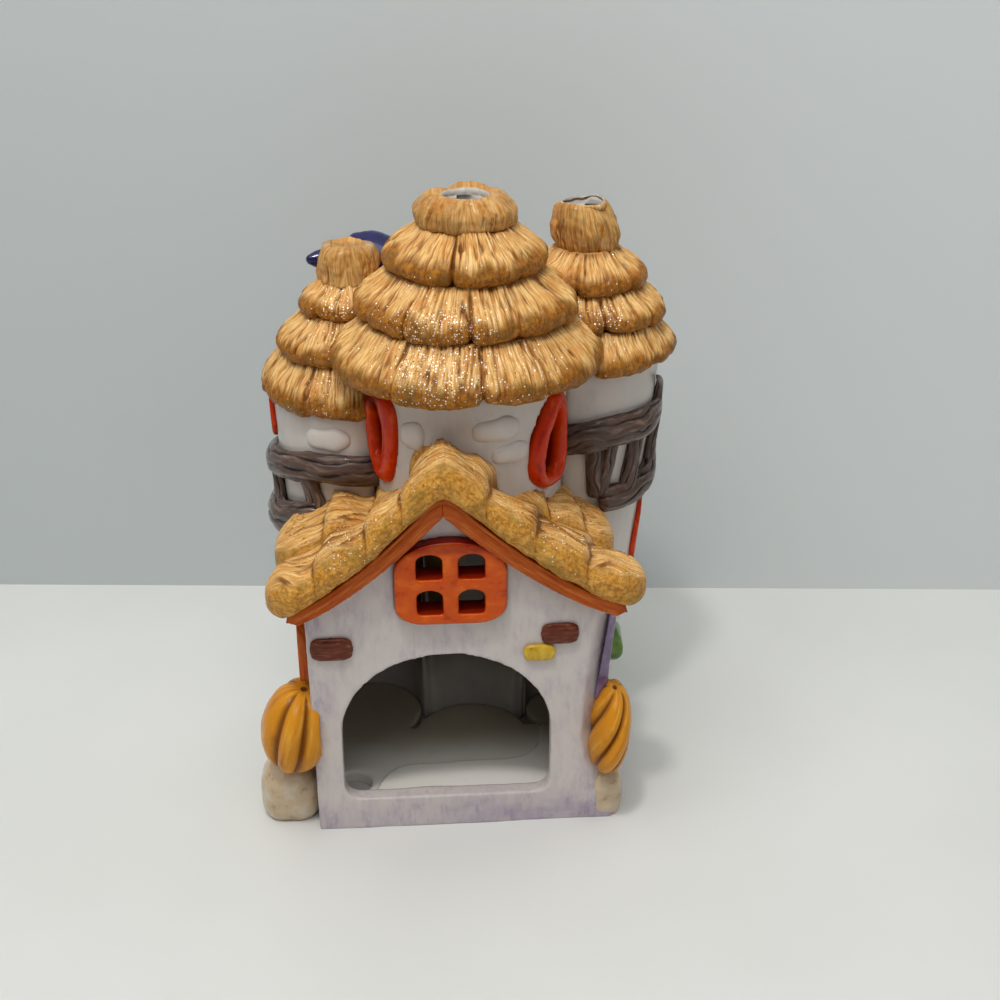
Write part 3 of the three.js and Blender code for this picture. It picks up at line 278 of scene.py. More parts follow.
# Stones standing out of the tower walls: azimuth and height, half the width and height, and how proud
STONES = {
    "centre_stone_1": dict(tower="centre", at=(-35.0, 109.4), half=(3.7, 3.7), proud=1.3),
    "centre_stone_2": dict(tower="centre", at=(13.4, 112.0), half=(6.2, 3.2), proud=1.5),
    "centre_stone_3": dict(tower="centre", at=(22.0, 105.2), half=(5.2, 2.8), proud=1.4),
    "left_stone": dict(tower="left", at=(-19.0, 101.5), half=(6.4, 3.2), proud=1.2),
}

# Garden: middle and half sizes of the pumpkins and the stones, and the lean, the twist and the angle of
# each groove of the pumpkins. Wall is where a piece is cut off inside the house's wall
PUMPKINS = {
    "pumpkin_left": dict(
        at=(-42.8, -28.8, 30.0), size=(9.5, 12.2, 13.4), lean=12, twist=0, wall=-36.3, seed=71,
        grooves=(-127, -76, -8, 60, 140)),
    "pumpkin_right": dict(
        at=(40.2, -32.0, 28.0), size=(5.9, 10.5, 14.2), lean=5, twist=60, wall=34.4, seed=72,
        grooves=(-100, -26, 44, 116, -172)),
}
FOOT_STONES = {
    "foot_stone_left": dict(at=(-46.0, -24.6, 7.2), size=(8.3, 8.0, 9.6), wall=-36.2, seed=73),
    "foot_stone_right": dict(at=(39.6, -28.2, 5.8), size=(5.2, 7.4, 8.6), wall=34.4, seed=74),
}

# Places where glitter was brushed on: middle, reach and strength
GLITTER = (
    ((-8, -26, 139), 7.5, 1.0), ((3, -28, 139), 6.0, 0.9), ((-7, -33, 128), 9.0, 0.8),
    ((6, -34, 128), 6.0, 0.6), ((-20, -20, 139), 6.0, 0.3), ((20, -30, 128), 7.0, 0.3),
    ((31, 0, 133), 4.5, 1.0), ((40, -2, 133), 4.5, 0.9), ((36, -4, 124), 5.0, 0.3),
    ((-27, 5, 134), 5.5, 0.8), ((-30, 0, 125), 5.0, 0.4), ((-33, -3, 113), 6.0, 0.5),
    ((-27, -38, 90), 7.0, 0.6), ((-12, -40, 104), 5.0, 0.4), ((28, -38, 92), 7.0, 0.5),
    ((40, -38, 86), 7.0, 0.4),
)


def deselect():
    """Leaves nothing selected, so that a primitive comes in by itself."""
    for one in list(bpy.context.selected_objects):
        one.select_set(False)


def activate(piece):
    """Makes a piece the one that operators work on."""
    deselect()
    piece.select_set(True)
    bpy.context.view_layer.objects.active = piece


def named_active(name):
    """Gives the object that an operator has just added its name, and returns it."""
    piece = bpy.context.view_layer.objects.active
    piece.name = name
    piece.data.name = name
    return piece


def get_points(piece):
    """A piece's points as rows of an array, in metres."""
    flat = np.empty(len(piece.data.vertices) * 3, np.float32)
    piece.data.vertices.foreach_get("co", flat)
    return flat.reshape(-1, 3).astype(float)


def set_points(piece, points):
    """Moves a piece's points to the rows of an array, in metres."""
    piece.data.vertices.foreach_set("co", points.astype(np.float32).ravel())
    piece.data.update()


def get_normals(piece):
    """A piece's normals as rows of an array."""
    flat = np.empty(len(piece.data.vertices) * 3, np.float32)
    piece.data.vertex_normals.foreach_get("vector", flat)
    return flat.reshape(-1, 3).astype(float)


def paint(piece, name, values):
    """Stores a value or a vector for each point of a piece, for its material to read."""
    values = np.asarray(values, np.float32)
    kind = "FLOAT_VECTOR" if values.ndim == 2 else "FLOAT"
    layer = piece.data.attributes.new(name, kind, "POINT")
    layer.data.foreach_set("vector" if values.ndim == 2 else "value", values.ravel())


def columns(*values):
    """Values for each point as the columns of one array; a bare number fills its column."""
    return np.stack(np.broadcast_arrays(*(np.asarray(value, float) for value in values)), axis=1)


def lattice(cell, seed):
    """A repeatable random number from 0 to 1 for each cell of a lattice."""
    x, y, z = (cell[..., axis].astype(np.int64) for axis in range(3))
    mixed = (x * 73856093) ^ (y * 19349663) ^ (z * 83492791) ^ (seed * 265443576)
    mixed = ((mixed ^ (mixed >> 13)) * 1274126177) & 0xFFFFFFFF
    mixed ^= mixed >> 15
    return (mixed & 0xFFFFF) / 0xFFFFF


def wobble(points, size, seed, around=0):
    """Smooth noise from -1 to 1 with bumps of the given size; around closes it along the first axis."""
    at = points / np.asarray(size, float)
    cell = np.floor(at)
    blend = at - cell
    blend = blend * blend * (3 - 2 * blend)
    total = 0.0
    for corner in range(8):
        step = np.array([(corner >> axis) & 1 for axis in range(3)])
        weight = np.prod(np.where(step == 1, blend, 1 - blend), axis=-1)
        here = cell + step
        if around:
            here[..., 0] = np.mod(here[..., 0], around)
        total = total + weight * lattice(here, seed)
    return 2 * total - 1


def rise(value, low, high):
    """Smooth step from 0 at low to 1 at high."""
    share = np.clip((value - low) / (high - low), 0, 1)
    return share * share * (3 - 2 * share)


def smooth_route(stops, count, closed=False):
    """Points spaced evenly along a rounded line through the stops."""
    stops = np.array(stops, float)
    if closed:
        ends = (stops[-1:], stops[:2])
    else:
        ends = (2 * stops[:1] - stops[1:2], 2 * stops[-1:] - stops[-2:-1])
    padded = np.concatenate([ends[0], stops, ends[1]])
    fine = []
    for index in range(1, len(padded) - 2):
        before, start, end, after = padded[index - 1:index + 3]
        share = np.linspace(0, 1, 24, endpoint=False)[:, None]
        fine.append(0.5 * (
            2 * start + (end - before) * share + (2 * before - 5 * start + 4 * end - after) * share ** 2
            + (3 * start - before - 3 * end + after) * share ** 3))
    fine = np.concatenate(fine + [padded[-2:-1]])
    length = np.concatenate([[0], np.cumsum(np.linalg.norm(np.diff(fine, axis=0), axis=1))])
    wanted = np.linspace(0, length[-1], count)
    return np.stack([np.interp(wanted, length, fine[:, axis]) for axis in range(fine.shape[1])], axis=1)


def out_of(profile):
    """The outward direction at each point of an anticlockwise closed profile."""
    ahead = np.roll(profile, -1, axis=0) - np.roll(profile, 1, axis=0)
    ahead /= np.maximum(np.linalg.norm(ahead, axis=1, keepdims=True), 1e-9)
    return columns(ahead[:, 1], -ahead[:, 0])


def finish(piece, material, node):
    """Smooths a finished piece's shading and ties it to the frame."""
    activate(piece)
    bpy.ops.object.shade_smooth()
    piece.data.materials.clear()
    piece.data.materials.append(material)
    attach(piece, "root")
    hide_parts(node)
    return piece


def ring(name, around, profile):
    """A grid primitive to be rolled up on a closed profile of radius and height: the piece, and for
    each point its azimuth and its place on the profile."""
    deselect()
    bpy.ops.mesh.primitive_grid_add(x_subdivisions=around, y_subdivisions=len(profile), size=1)
    piece = named_active(name)
    flat = get_points(piece)
    azimuth = np.round((flat[:, 0] + 0.5) * around) / around * 2 * math.pi - math.pi
    place = np.round((flat[:, 1] + 0.5) * len(profile)).astype(int) % len(profile)
    return piece, azimuth, place


def close_up(piece):
    """Welds a rolled-up piece along its seams and turns its faces outwards."""
    activate(piece)
    bpy.ops.object.mode_set(mode="EDIT")
    bpy.ops.mesh.select_all(action="SELECT")
    bpy.ops.mesh.remove_doubles(threshold=WELD)
    bpy.ops.mesh.normals_make_consistent(inside=False)
    bpy.ops.object.mode_set(mode="OBJECT")


def lay_ring(piece, axis, azimuth, radius, height):
    """Puts a ring's points at their radius and height round an upright axis, in millimetres."""
    x = axis[0] + radius * np.sin(azimuth)
    y = axis[1] - radius * np.cos(azimuth)
    set_points(piece, columns(x, y, height) * MM)


def lobe_shape(azimuth, clefts):
    """How full each lobe is at an azimuth, from 0 in a cleft to 1, the angle to the nearest cleft, how
    strong that cleft is, the lobe's number and the share of the way across it."""
    places, strengths = (np.array(values, float) for values in zip(*sorted(clefts)))
    edges = np.radians(places)
    edges = np.concatenate([[edges[-1] - 2 * math.pi], edges, [edges[0] + 2 * math.pi]])
    strengths = np.concatenate([[strengths[-1]], strengths, [strengths[0]]])
    lobe = np.clip(np.searchsorted(edges, azimuth, side="right") - 1, 0, len(edges) - 2)
    low, high = edges[lobe], edges[lobe + 1]
    share = (azimuth - low) / (high - low)
    near = np.minimum(azimuth - low, high - azimuth)
    strength = np.where(share < 0.5, strengths[lobe], strengths[lobe + 1])
    return 1 - np.abs(2 * share - 1) ** 2.6, near, strength, lobe % len(clefts), share


def strands(arc, along, seed, around, dashes):
    """Grooves combed along the straw: their depth in millimetres and how dark each is stained."""
    where = columns(arc, along, 0)

    def grain(width, length, offset):
        cells = max(1, round(around / width))
        return wobble(where * [cells / around, 1 / length, 1], 1.0, seed + offset, cells)

    line = 1 - rise(np.abs(grain(1.25, 20.0, 1)), 0.0, 0.2)
    hair = 1 - rise(np.abs(grain(0.8, 13.0, 2)), 0.0, 0.22)
    broad = rise(grain(1.7, 16.0, 4), 0.2, 0.75)
    dash = rise(grain(1.0, 5.5, 3), 0.5, 0.72) * dashes
    depth = 0.44 * line + 0.26 * hair + 0.3 * broad + 0.45 * dash
    stain = np.clip(0.62 * line + 0.34 * hair + 0.2 * broad + 0.55 * dash, 0, 1)
    return depth, stain


def glitter_at(points):
    """How thick the glitter lies at each point, from 0 to 1."""
    total = np.zeros(len(points))
    for middle, reach, strength in GLITTER:
        away = np.linalg.norm(points / MM - np.array(middle, float), axis=1)
        total += strength * np.exp(-((away / reach) ** 2))
    return np.clip(total, 0, 1)


def tower_axis(tower):
    """Where a tower's upright axis stands, in millimetres."""
    low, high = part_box(f"{tower}_chimney")
    return (low + high).xy / 2 / MM


def add_course(node, spec, material):
    """One course of straw round a tower: a rolled, lobed rim and strands combed down its flank."""
    low, high = (corner.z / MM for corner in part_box(node))
    lip, neck, seed = spec["lip"], spec["neck"], spec["seed"]
    tall = high - low
    spread = lip - neck
    outside = [(lip - by_height * tall - by_spread * spread, low + up * tall)
               for by_height, by_spread, up in COURSE_FLANK]
    outside += [(neck, high + 0.5), (neck - 1.0, high + 0.9)]
    flank = smooth_route(outside, 62)
    bore = min(spec["bore"], neck - 2.6)
    hidden = np.array([
        (neck - 2.0, high + 0.7), (bore, high - 0.4), (spec["bore"], low + spec["droop"]),
        (spec["bore"] + 1.5, low + spec["droop"]),
    ])
    profile = np.concatenate([flank, hidden])
    around = int(2 * math.pi * lip / STRAND_STEP)
    piece, azimuth, place = ring(node, around, profile)
    shown = place < len(flank)
    facing = out_of(profile)[place]
    radius, height = profile[place, 0], profile[place, 1]
    steps = np.linalg.norm(np.diff(flank, axis=0), axis=1)
    run = np.concatenate([np.cumsum(steps[::-1])[::-1], [0], np.zeros(len(hidden))])[place]
    down = np.clip(run / steps.sum(), 0, 1)
    full, near, strength, lobe, share = lobe_shape(azimuth, spec["clefts"])
    arc = azimuth * lip
    ends = columns(np.sin(azimuth), -np.cos(azimuth), 0) * lip
    spatial = ends + columns(0, 0, run)
    bend = wobble(ends + [0, 0, 3], 8.0, seed + 5) * 0.2
    depth, stain = strands(arc + bend * run, run, seed, 2 * math.pi * lip, spec["dashes"])
    ragged = 0.12 * wobble(ends, 5.0, seed + 9) + 0.06 * wobble(ends, 1.6, seed + 10)
    comb = rise(down, 0.0, 0.05) * (1 - 0.86 * rise(down, 0.58 + ragged, 0.78 + ragged))
    chance = lattice(columns(lobe, 0, 0), seed) - 0.5
    draw = 0.017 * lip * strength * (1 - full) * (0.3 + 0.7 * rise(down, 0.1, 0.6)) + 0.9 * chance * full
    lapped = 0.9 * (share - 0.5) * np.sign(chance) * rise(down, 0.05, 0.5) * rise(near * lip, 0, 0.5)
    crease = np.exp(-((near * lip / 0.5) ** 2)) + 0.3 * np.exp(-((near * lip / 1.6) ** 2))
    cleft = strength * crease * rise(down, 0.02, 0.2)
    lumps = wobble(spatial, 3.6, seed + 6)
    pits = wobble(spatial, 1.2, seed + 7)
    rolled = rise(down, 0.52, 0.8)
    out = -depth * comb - 1.15 * cleft + 0.34 * lumps + 0.2 * pits * rolled + lapped
    out = out * shown
    radius = radius - draw * shown + facing[:, 0] * out
    height = height + facing[:, 1] * out + (0.5 * (1 - full) * strength + 0.5 * chance) * rolled * shown
    height = np.maximum(height, low - 0.2)
    lay_ring(piece, tower_axis(node.split("_")[0]), azimuth, radius, height)
    # Painted shade: under the rim's seat, and round the neck where the course above overhangs it
    under = rise(down, 0.9, 1.0)
    tucked_shade = (1 - rise(run, 0.6, 3.0)) * shown
    stain = np.clip(stain * comb + 0.75 * np.clip(cleft, 0, 1) + under + 0.45 * tucked_shade, 0, 1)
    if "burn" in spec:
        patch = np.exp(-(((azimuth - math.radians(spec["burn"])) / BURN_REACH) ** 2))
        stain = np.clip(stain + 1.1 * patch * rise(down, 0.2, 0.5), 0, 1)
    rim = rise(down, 0.44 + ragged, 0.64 + ragged)
    paint(piece, "glaze", columns(stain, rim, glitter_at(get_points(piece))))
    paint(piece, "grain", columns(arc, run, lobe * 7.0))
    close_up(piece)
    return finish(piece, material, node)


def add_chimney(node, spec, material):
    """A pot of bound straw round a flue, uneven along its top edge. A lidded one is closed but for a
    slit."""
    low, high = (corner.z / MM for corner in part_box(node))
    tall = high - low
    foot, belly, rim, bore, seed = spec["foot"], spec["belly"], spec["rim"], spec["bore"], spec["seed"]
    outside = [
        (foot - 2.4, low - 0.3), (foot - 0.6, low + 0.02 * tall),
        (0.4 * foot + 0.6 * belly, low + 0.14 * tall),
        (belly, low + 0.38 * tall), (belly - 0.15 * (belly - rim), low + 0.62 * tall),
        (rim + 0.5, low + 0.88 * tall), (rim - 0.5, high - 0.25), (rim - 1.5, high),
    ]
    if spec["lid"]:
        outside += [(rim - 2.2, high - 0.3)]
        outside += [(radius, high - 0.5) for radius in (0.5 * rim, 0.25 * rim, 0.3)]
        hidden = np.array([(0.3, high - 2.5), (foot - 1.8, high - 2.5), (foot - 1.8, low - 0.3)])
    else:
        outside += [(bore + 1.0, high - 0.25), (bore + 0.25, high - 0.9), (bore, high - 2.0)]
        flue = [(bore, level) for level in np.linspace(high - 2.6, low, 5)]
        hidden = np.array(flue + [(foot - 1.8, low - 0.3)])
    flank = smooth_route(outside, 72)
    profile = np.concatenate([flank, hidden])
    piece, azimuth, place = ring(node, CHIMNEY_STEPS, profile)
    shown = place < len(flank)
    facing = out_of(profile)[place]
    radius, height = profile[place, 0], profile[place, 1]
    steps = np.linalg.norm(np.diff(flank, axis=0), axis=1)
    run = np.concatenate([[0], np.cumsum(steps), np.full(len(hidden), steps.sum())])[place]
    arc = azimuth * belly
    ends = columns(np.sin(azimuth), -np.cos(azimuth), 0) * belly
    spatial = ends * np.minimum(radius / belly, 1)[:, None] + columns(0, 0, height)
    bend = wobble(ends, 7.0, seed + 5) * 0.25
    depth, stain = strands(arc + bend * run, run, seed, 2 * math.pi * belly, 0.5)
    side = (1 - rise(height, low + 0.5 * tall, high - 0.1 * tall)) * (radius > rim - 1.0) * (
        0.35 + 0.65 * rise(wobble(ends, 6.0, seed + 11), -0.3, 0.3))
    lumps = wobble(spatial, 4.4, seed + 6)
    pits = wobble(spatial, 1.4, seed + 7)
    outer = rise(height, low + 0.45 * tall, high) * rise(radius, 0.35 * rim, rim)
    edge = wobble(ends, 5.5, seed + 8) * outer
    fold = wobble(columns(arc, run * 0.5 + arc * 0.35, 0), 3.4, seed + 12)
    fold = fold * rise(radius, 0.5 * rim, rim)
    out = (-0.6 * depth * side + 0.6 * lumps + 0.6 * fold + 0.25 * pits) * shown
    lean = np.array(spec["lean"]) * rise(height, low, high)[:, None]
    radius = np.maximum(radius + facing[:, 0] * out * (radius > 1.0), 0.2)
    height = height + facing[:, 1] * out * 0.6 + (0.6 * edge - 0.6) * shown
    axis = tower_axis(node.split("_")[0])
    bare = (profile[place, 0] < bore + 0.7) * 1.0
    # Painted shade round the chimney's foot, where it meets the roof
    tucked_shade = (1 - rise(run, 0.0, 1.8)) * shown
    stain = np.clip(stain * side * 0.8 + 0.3 * rise(-fold, 0.2, 0.6) + 0.9 * tucked_shade, 0, 1)
    if spec["lid"]:
        across = np.abs(radius * np.sin(azimuth)) / 2.9
        along = np.abs(radius * np.cos(azimuth)) / 0.75
        slit = np.exp(-(across ** 4 + along ** 2)) * (radius < rim - 1)
        height = height - 1.6 * slit * shown
        stain = np.clip(stain + 1.3 * slit, 0, 1)
        chipped = rise(height, high - 1.6, high - 0.9) * (radius > rim - 1.6)
        bare = 0.4 * rise(wobble(ends, 3.0, seed + 9), 0.15, 0.5) * chipped
    lay_ring(piece, (axis[0] + lean[:, 0], axis[1] + lean[:, 1]), azimuth, radius, height)
    paint(piece, "glaze", columns(stain, 0.45 + 0.3 * lumps, 0))
    flat = columns(radius * np.sin(azimuth), radius * np.cos(azimuth) * 0.2, 0)
    level = ((radius < rim - 1.2) * 1.0)[:, None]
    paint(piece, "grain", (1 - level) * columns(arc, run, 0) + level * flat)
    paint(piece, "bare", bare)
    close_up(piece)
    return finish(piece, material, node)


def sleeve(name, around, along):
    """A cylinder primitive cut into rings: the piece, and each point's angle, way along and radius."""
    deselect()
    bpy.ops.mesh.primitive_cylinder_add(vertices=around, radius=1, depth=1, end_fill_type="TRIFAN")
    piece = named_active(name)
    ends = get_points(piece)
    edges = np.array([tuple(edge.vertices) for edge in piece.data.edges])
    upright = np.abs(ends[edges[:, 0], 2] - ends[edges[:, 1], 2]) > 0.5
    activate(piece)
    bpy.ops.object.mode_set(mode="EDIT")
    bpy.ops.mesh.select_mode(type="EDGE")
    bpy.ops.mesh.select_all(action="DESELECT")
    bpy.ops.object.mode_set(mode="OBJECT")
    piece.data.edges.foreach_set("select", upright)
    bpy.ops.object.mode_set(mode="EDIT")
    bpy.ops.mesh.subdivide_edgering(number_cuts=along, interpolation="LINEAR")
    bpy.ops.object.mode_set(mode="OBJECT")
    points = get_points(piece)
    angle = np.arctan2(points[:, 1], points[:, 0])
    return piece, angle, points[:, 2] + 0.5, np.hypot(points[:, 0], points[:, 1])


def roof_top(x):
    """Height of the thatch's upper face over the table, rounded off over the ridge."""
    away = np.abs(x - GABLE["ridge_x"])
    away = np.sqrt(away ** 2 + GABLE["round"] ** 2) - 0.5 * GABLE["round"]
    span = np.where(x < GABLE["ridge_x"], *GABLE["spans"])
    up = np.clip(1 - away / span, 0, None)
    return GABLE["eave_z"] + (GABLE["ridge_z"] - GABLE["eave_z"]) * up ** GABLE["sweep"]


def add_slope(node, spec, material):
    """One course of a slope: bundles of straw lapped over each other from the ridge to the eave."""
    ridge_x, eave_x, seed = GABLE["ridge_x"], spec["eave_x"], spec["seed"]
    side = math.copysign(1, eave_x)
    front, back = spec["front"], spec["back"]
    deep = back - front
    around = SLOPE_GRID[0]
    piece, angle, way, spoke = sleeve(node, *SLOPE_GRID)
    thick = GABLE["thatch"]
    section = [
        (0.3 * deep, 0.0), (3.2, -0.01 * thick), (0.9, 0.13 * thick), (0.0, 0.38 * thick),
        (0.5, 0.68 * thick), (2.1, 0.93 * thick), (4.6, 1.04 * thick), (0.42 * deep, 1.05 * thick),
        (0.7 * deep, 1.0 * thick), (deep - 2.0, 0.92 * thick), (deep, 0.72 * thick),
        (deep, 0.1 * thick), (0.65 * deep, 0.0),
    ]
    loop = smooth_route(section + section[:1], around + 1)[:-1]
    slot = np.round((angle / (2 * math.pi)) * around).astype(int) % around
    across, up = loop[slot, 0], loop[slot, 1]
    facing = -out_of(loop[::-1])[::-1][slot]
    girth = np.concatenate([[0], np.cumsum(np.linalg.norm(np.diff(loop, axis=0), axis=1))])[slot]
    share_back = np.clip(across / deep, 0, 1)
    past = np.clip((way - (1 - EAVE_ROUND)) / EAVE_ROUND, 0, 1)
    rounding = np.sqrt(np.clip(1 - past ** 2.2, 0.0, 1))
    tongue = EAVE_TONGUE * np.abs((2 * share_back - 1) * (0.1 + 0.9 * rounding)) ** 3
    span = np.abs(eave_x - ridge_x)
    length = span + RIDGE_OVERLAP
    x_at = ridge_x + side * ((length - tongue * rise(way, 0.6, 1.0)) * way - RIDGE_OVERLAP)
    tuck = RIDGE_TUCK * (1 - rise(way * length, 0.0, RIDGE_OVERLAP))
    ends = np.array(spec["ends"], float)
    lag = spec["lag"] * share_back ** 1.6 + 0.8 * wobble(columns(across, 0, 0), 5.0, seed)
    off = np.maximum((x_at - ridge_x) * side, 0)
    reach = off + lag * rise(span - off, 0.0, 6.0)
    marks = np.concatenate([[0], np.abs(ends - ridge_x)])
    marks[-1] += 3.0
    bundle = np.clip(np.searchsorted(marks, reach, side="right") - 1, 0, len(ends) - 1)
    start, stop = marks[bundle], marks[bundle + 1]
    share = np.clip((reach - start) / (stop - start), 0, 1)
    left = stop - reach
    lift = 0.74 + 0.27 * rise(share, -0.3, 0.9)
    lift = np.where(bundle == 0, 1.0, lift)
    nose = np.sqrt(np.clip(1 - (1 - np.clip(left / 1.5, 0, 1)) ** 2, 0, 1))
    lift = lift - 0.16 * (1 - nose) * (bundle < len(ends) - 1)
    dip = spec["sag"] * (bundle > 0) * (1 - rise(off, 15.0, 29.0)) * rise(front + across, -37.0, -23.0)
    sink, aside, behind = CROWN_DIPS[side]
    dip = dip + sink * (bundle == 0) * rise(off, *aside) * rise(front + across, *behind)
    top = rise(up, 0.3 * thick, 0.75 * thick)
    run = off * 1.22
    curl = wobble(columns(bundle * 9.0, run * 0.12, 0), 1.0, seed + 4)
    depth, stain = strands(girth + 2.4 * curl, run, seed, 400.0, 0.55)
    spatial = columns(x_at, across, up)
    lumps = wobble(spatial, 4.2, seed + 6)
    pits = wobble(spatial, (1.5, 1.1, 1.1), seed + 7)
    comb = 0.2 + 0.8 * rise(up, 0.7 * thick, 0.97 * thick) * rise(across, 0.5, 3.5)
    seam = np.exp(-((reach - start) / 0.7) ** 2) * (bundle > 0) * rise(up, 0.1 * thick, 0.5 * thick)
    calm = 1 - rise(way, 0.9, 0.99)
    out = (-depth * comb - 0.3 * seam) * calm + 0.5 * lumps + 0.24 * pits * (1 - 0.7 * comb) - tuck
    pillow = np.sin(np.pi * np.clip(share, 0.0, 1)) ** 0.5
    middle_up, middle_across = 0.5 * thick, 0.5 * deep
    across_now = across + 1.1 * (1 - pillow) * (1 - rise(across, 0.0, 0.4 * deep)) + facing[:, 0] * out
    up_now = up * lift + facing[:, 1] * out - dip * top
    across_now = middle_across + (across_now - middle_across) * (0.1 + 0.9 * rounding)
    up_now = middle_up + (up_now - middle_up) * (0.1 + 0.9 * rounding)
    across_now = np.where(spoke < 0.5, middle_across, across_now)
    up_now = np.where(spoke < 0.5, middle_up, up_now)
    across_now = np.maximum(across_now, 0.02)
    z_now = roof_top(x_at) - thick + up_now
    set_points(piece, columns(x_at, front + across_now, z_now) * MM)
    # The seam at each bundle's end is darkened as painted shade under the step
    stain = np.clip((stain * comb + (0.5 + 0.4 * comb) * seam) * calm, 0, 1)
    rolled = 0.95 - 0.8 * rise(up, 0.62 * thick, 0.98 * thick) * rise(across, 0.5, 4.0)
    paint(piece, "glaze", columns(stain, rolled, glitter_at(get_points(piece))))
    paint(piece, "grain", columns(girth + 2.4 * curl, run, bundle * 7.0))
    close_up(piece)
    return finish(piece, material, node)


def tower_point(tower, azimuth, height, out):
    """Points against a tower's wall, in millimetres."""
    foot, head, top = TOWER_WALLS[tower]
    share = (height / top)[:, None]
    middle = (1 - share) * np.array(foot) + share * np.array(head)
    turn = np.radians(azimuth)
    radius = middle[:, 2] + out
    return columns(middle[:, 0] + radius * np.sin(turn), middle[:, 1] - radius * np.cos(turn), height)


def along_route(piece, angle, way, spoke, route, high, deep, thin, seed, normals):
    """Lays a sleeve along a route, an oval of knotted strands whose normals point off the wall."""
    count = len(route)
    at = np.clip(way * (count - 1), 0, count - 1)
    index = np.minimum(at.astype(int), count - 2)
    blend = (at - index)[:, None]
    middle = (1 - blend) * route[index] + blend * route[index + 1]
    ahead = np.gradient(route, axis=0)
    ahead = (1 - blend) * ahead[index] + blend * ahead[index + 1]
    ahead /= np.linalg.norm(ahead, axis=1, keepdims=True)
    away = (1 - blend) * normals[index] + blend * normals[index + 1]
    away -= np.sum(away * ahead, axis=1, keepdims=True) * ahead
    away /= np.linalg.norm(away, axis=1, keepdims=True)
    over = np.cross(away, ahead)
    length = np.linalg.norm(np.diff(route, axis=0), axis=1).sum()
    run = way * length
    cap = np.minimum(run, length - run)
    rounding = np.sqrt(np.clip(1 - (1 - np.clip(cap / (0.6 * high), 0, 1)) ** 2, 0.02, 1))
    rounding = rounding * (1 - (1 - thin) * rise(way, 0.62, 1.0))
    circle = columns(np.cos(angle) * 3, np.sin(angle) * 3, run)
    wander = wobble(circle * [0.2, 0.2, 1], 7.0, seed + 3) + 0.5 * wobble(circle, 3.0, seed + 4)
    strand = np.abs(np.sin((angle * STRANDS_ROUND + 2.4 * wander) / 2))
    groove = (1 - strand) ** 2.2 * (0.55 + 0.45 * wobble(circle * [1, 1, 0.3], 1.5, seed + 5))
    fine = wobble(circle * [1, 1, 0.16], 0.42, seed + 1)
    lumps = wobble(circle, 4.5, seed + 2)
    scale = rounding * (1.03 - 0.24 * groove + 0.022 * fine + 0.09 * lumps) * spoke
    outward, upward = deep * scale * np.cos(angle), high * scale * np.sin(angle)
    set_points(piece, (middle + away * outward[:, None] + over * upward[:, None]) * MM)
    paint(piece, "glaze", columns(np.clip(1.7 * groove + 0.3 * rise(-fine, 0.2, 0.7), 0, 1), 0, 0))
    paint(piece, "grain", columns(angle * (high + deep) / 2 + wander, run, 0))
    close_up(piece)


def add_rail(node, spec, material):
    """A balcony rail laid round a tower."""
    stops = smooth_route(spec["stops"], 60)
    deep = spec["deep"]
    route = tower_point(spec["tower"], stops[:, 0], stops[:, 1], 0.5 * deep)
    off = tower_point(spec["tower"], stops[:, 0], stops[:, 1], 0.5 * deep + 1) - route
    piece, angle, way, spoke = sleeve(node, *RAIL_GRID)
    along_route(piece, angle, way, spoke, route, spec["high"], deep, spec["thin"], spec["seed"], off)
    return finish(piece, material, node)


def add_baluster(node, spec, material):
    """A post between the rails."""
    stops = smooth_route((spec["low"], spec["high"]), 12)
    route = tower_point(spec["tower"], stops[:, 0], stops[:, 1], POST_PROUD)
    off = tower_point(spec["tower"], stops[:, 0], stops[:, 1], POST_PROUD + 1) - route
    piece, angle, way, spoke = sleeve(node, *BALUSTER_GRID)
    along_route(piece, angle, way, spoke, route, spec["thick"], POST_DEEP, 1.0, spec["seed"], off)
    return finish(piece, material, node)


def add_frame(node, spec, material):
    """A thick painted band round a pointed opening in the centre tower."""
    turns = FRAME_STEPS
    outside = smooth_route(spec["outside"] + spec["outside"][:1], turns + 1)[:-1]
    inside = smooth_route(spec["inside"] + spec["inside"][:1], turns + 1)[:-1]
    piece, azimuth, place = ring(node, turns, FRAME_BAND)
    across, out = np.array(FRAME_BAND)[place].T
    index = np.round((azimuth + math.pi) / (2 * math.pi) * turns).astype(int) % turns
    blend = across[:, None]
    at = inside[index] * (1 - blend) + outside[index] * blend
    knots = columns(at[:, 0] * 0.45, at[:, 1], out)
    lumps = 0.3 * wobble(knots, 4.0, 75) + 0.12 * wobble(knots, 1.5, 76)
    set_points(piece, tower_point("centre", at[:, 0], at[:, 1], out + lumps * (out > 0)) * MM)
    # Painted shade: darkest deep in the opening and on the sheet closing it, a little along the band's foot
    stain = 0.9 * (1 - rise(out, -2.6, 0.9)) * (across < 0.5) + 0.25 * rise(across, 0.85, 1.0)
    # Painted shade over the top of the left frame's opening
    if node.endswith("left"):
        stain = stain + rise(at[:, 1], 109, 116) * (1 - rise(at[:, 0], -62, -50))
    paint(piece, "glaze", columns(np.clip(stain, 0, 1), 0, 0))
    paint(piece, "grain", columns(across * 5, index * 0.3, 0))
    close_up(piece)
    return finish(piece, material, node)


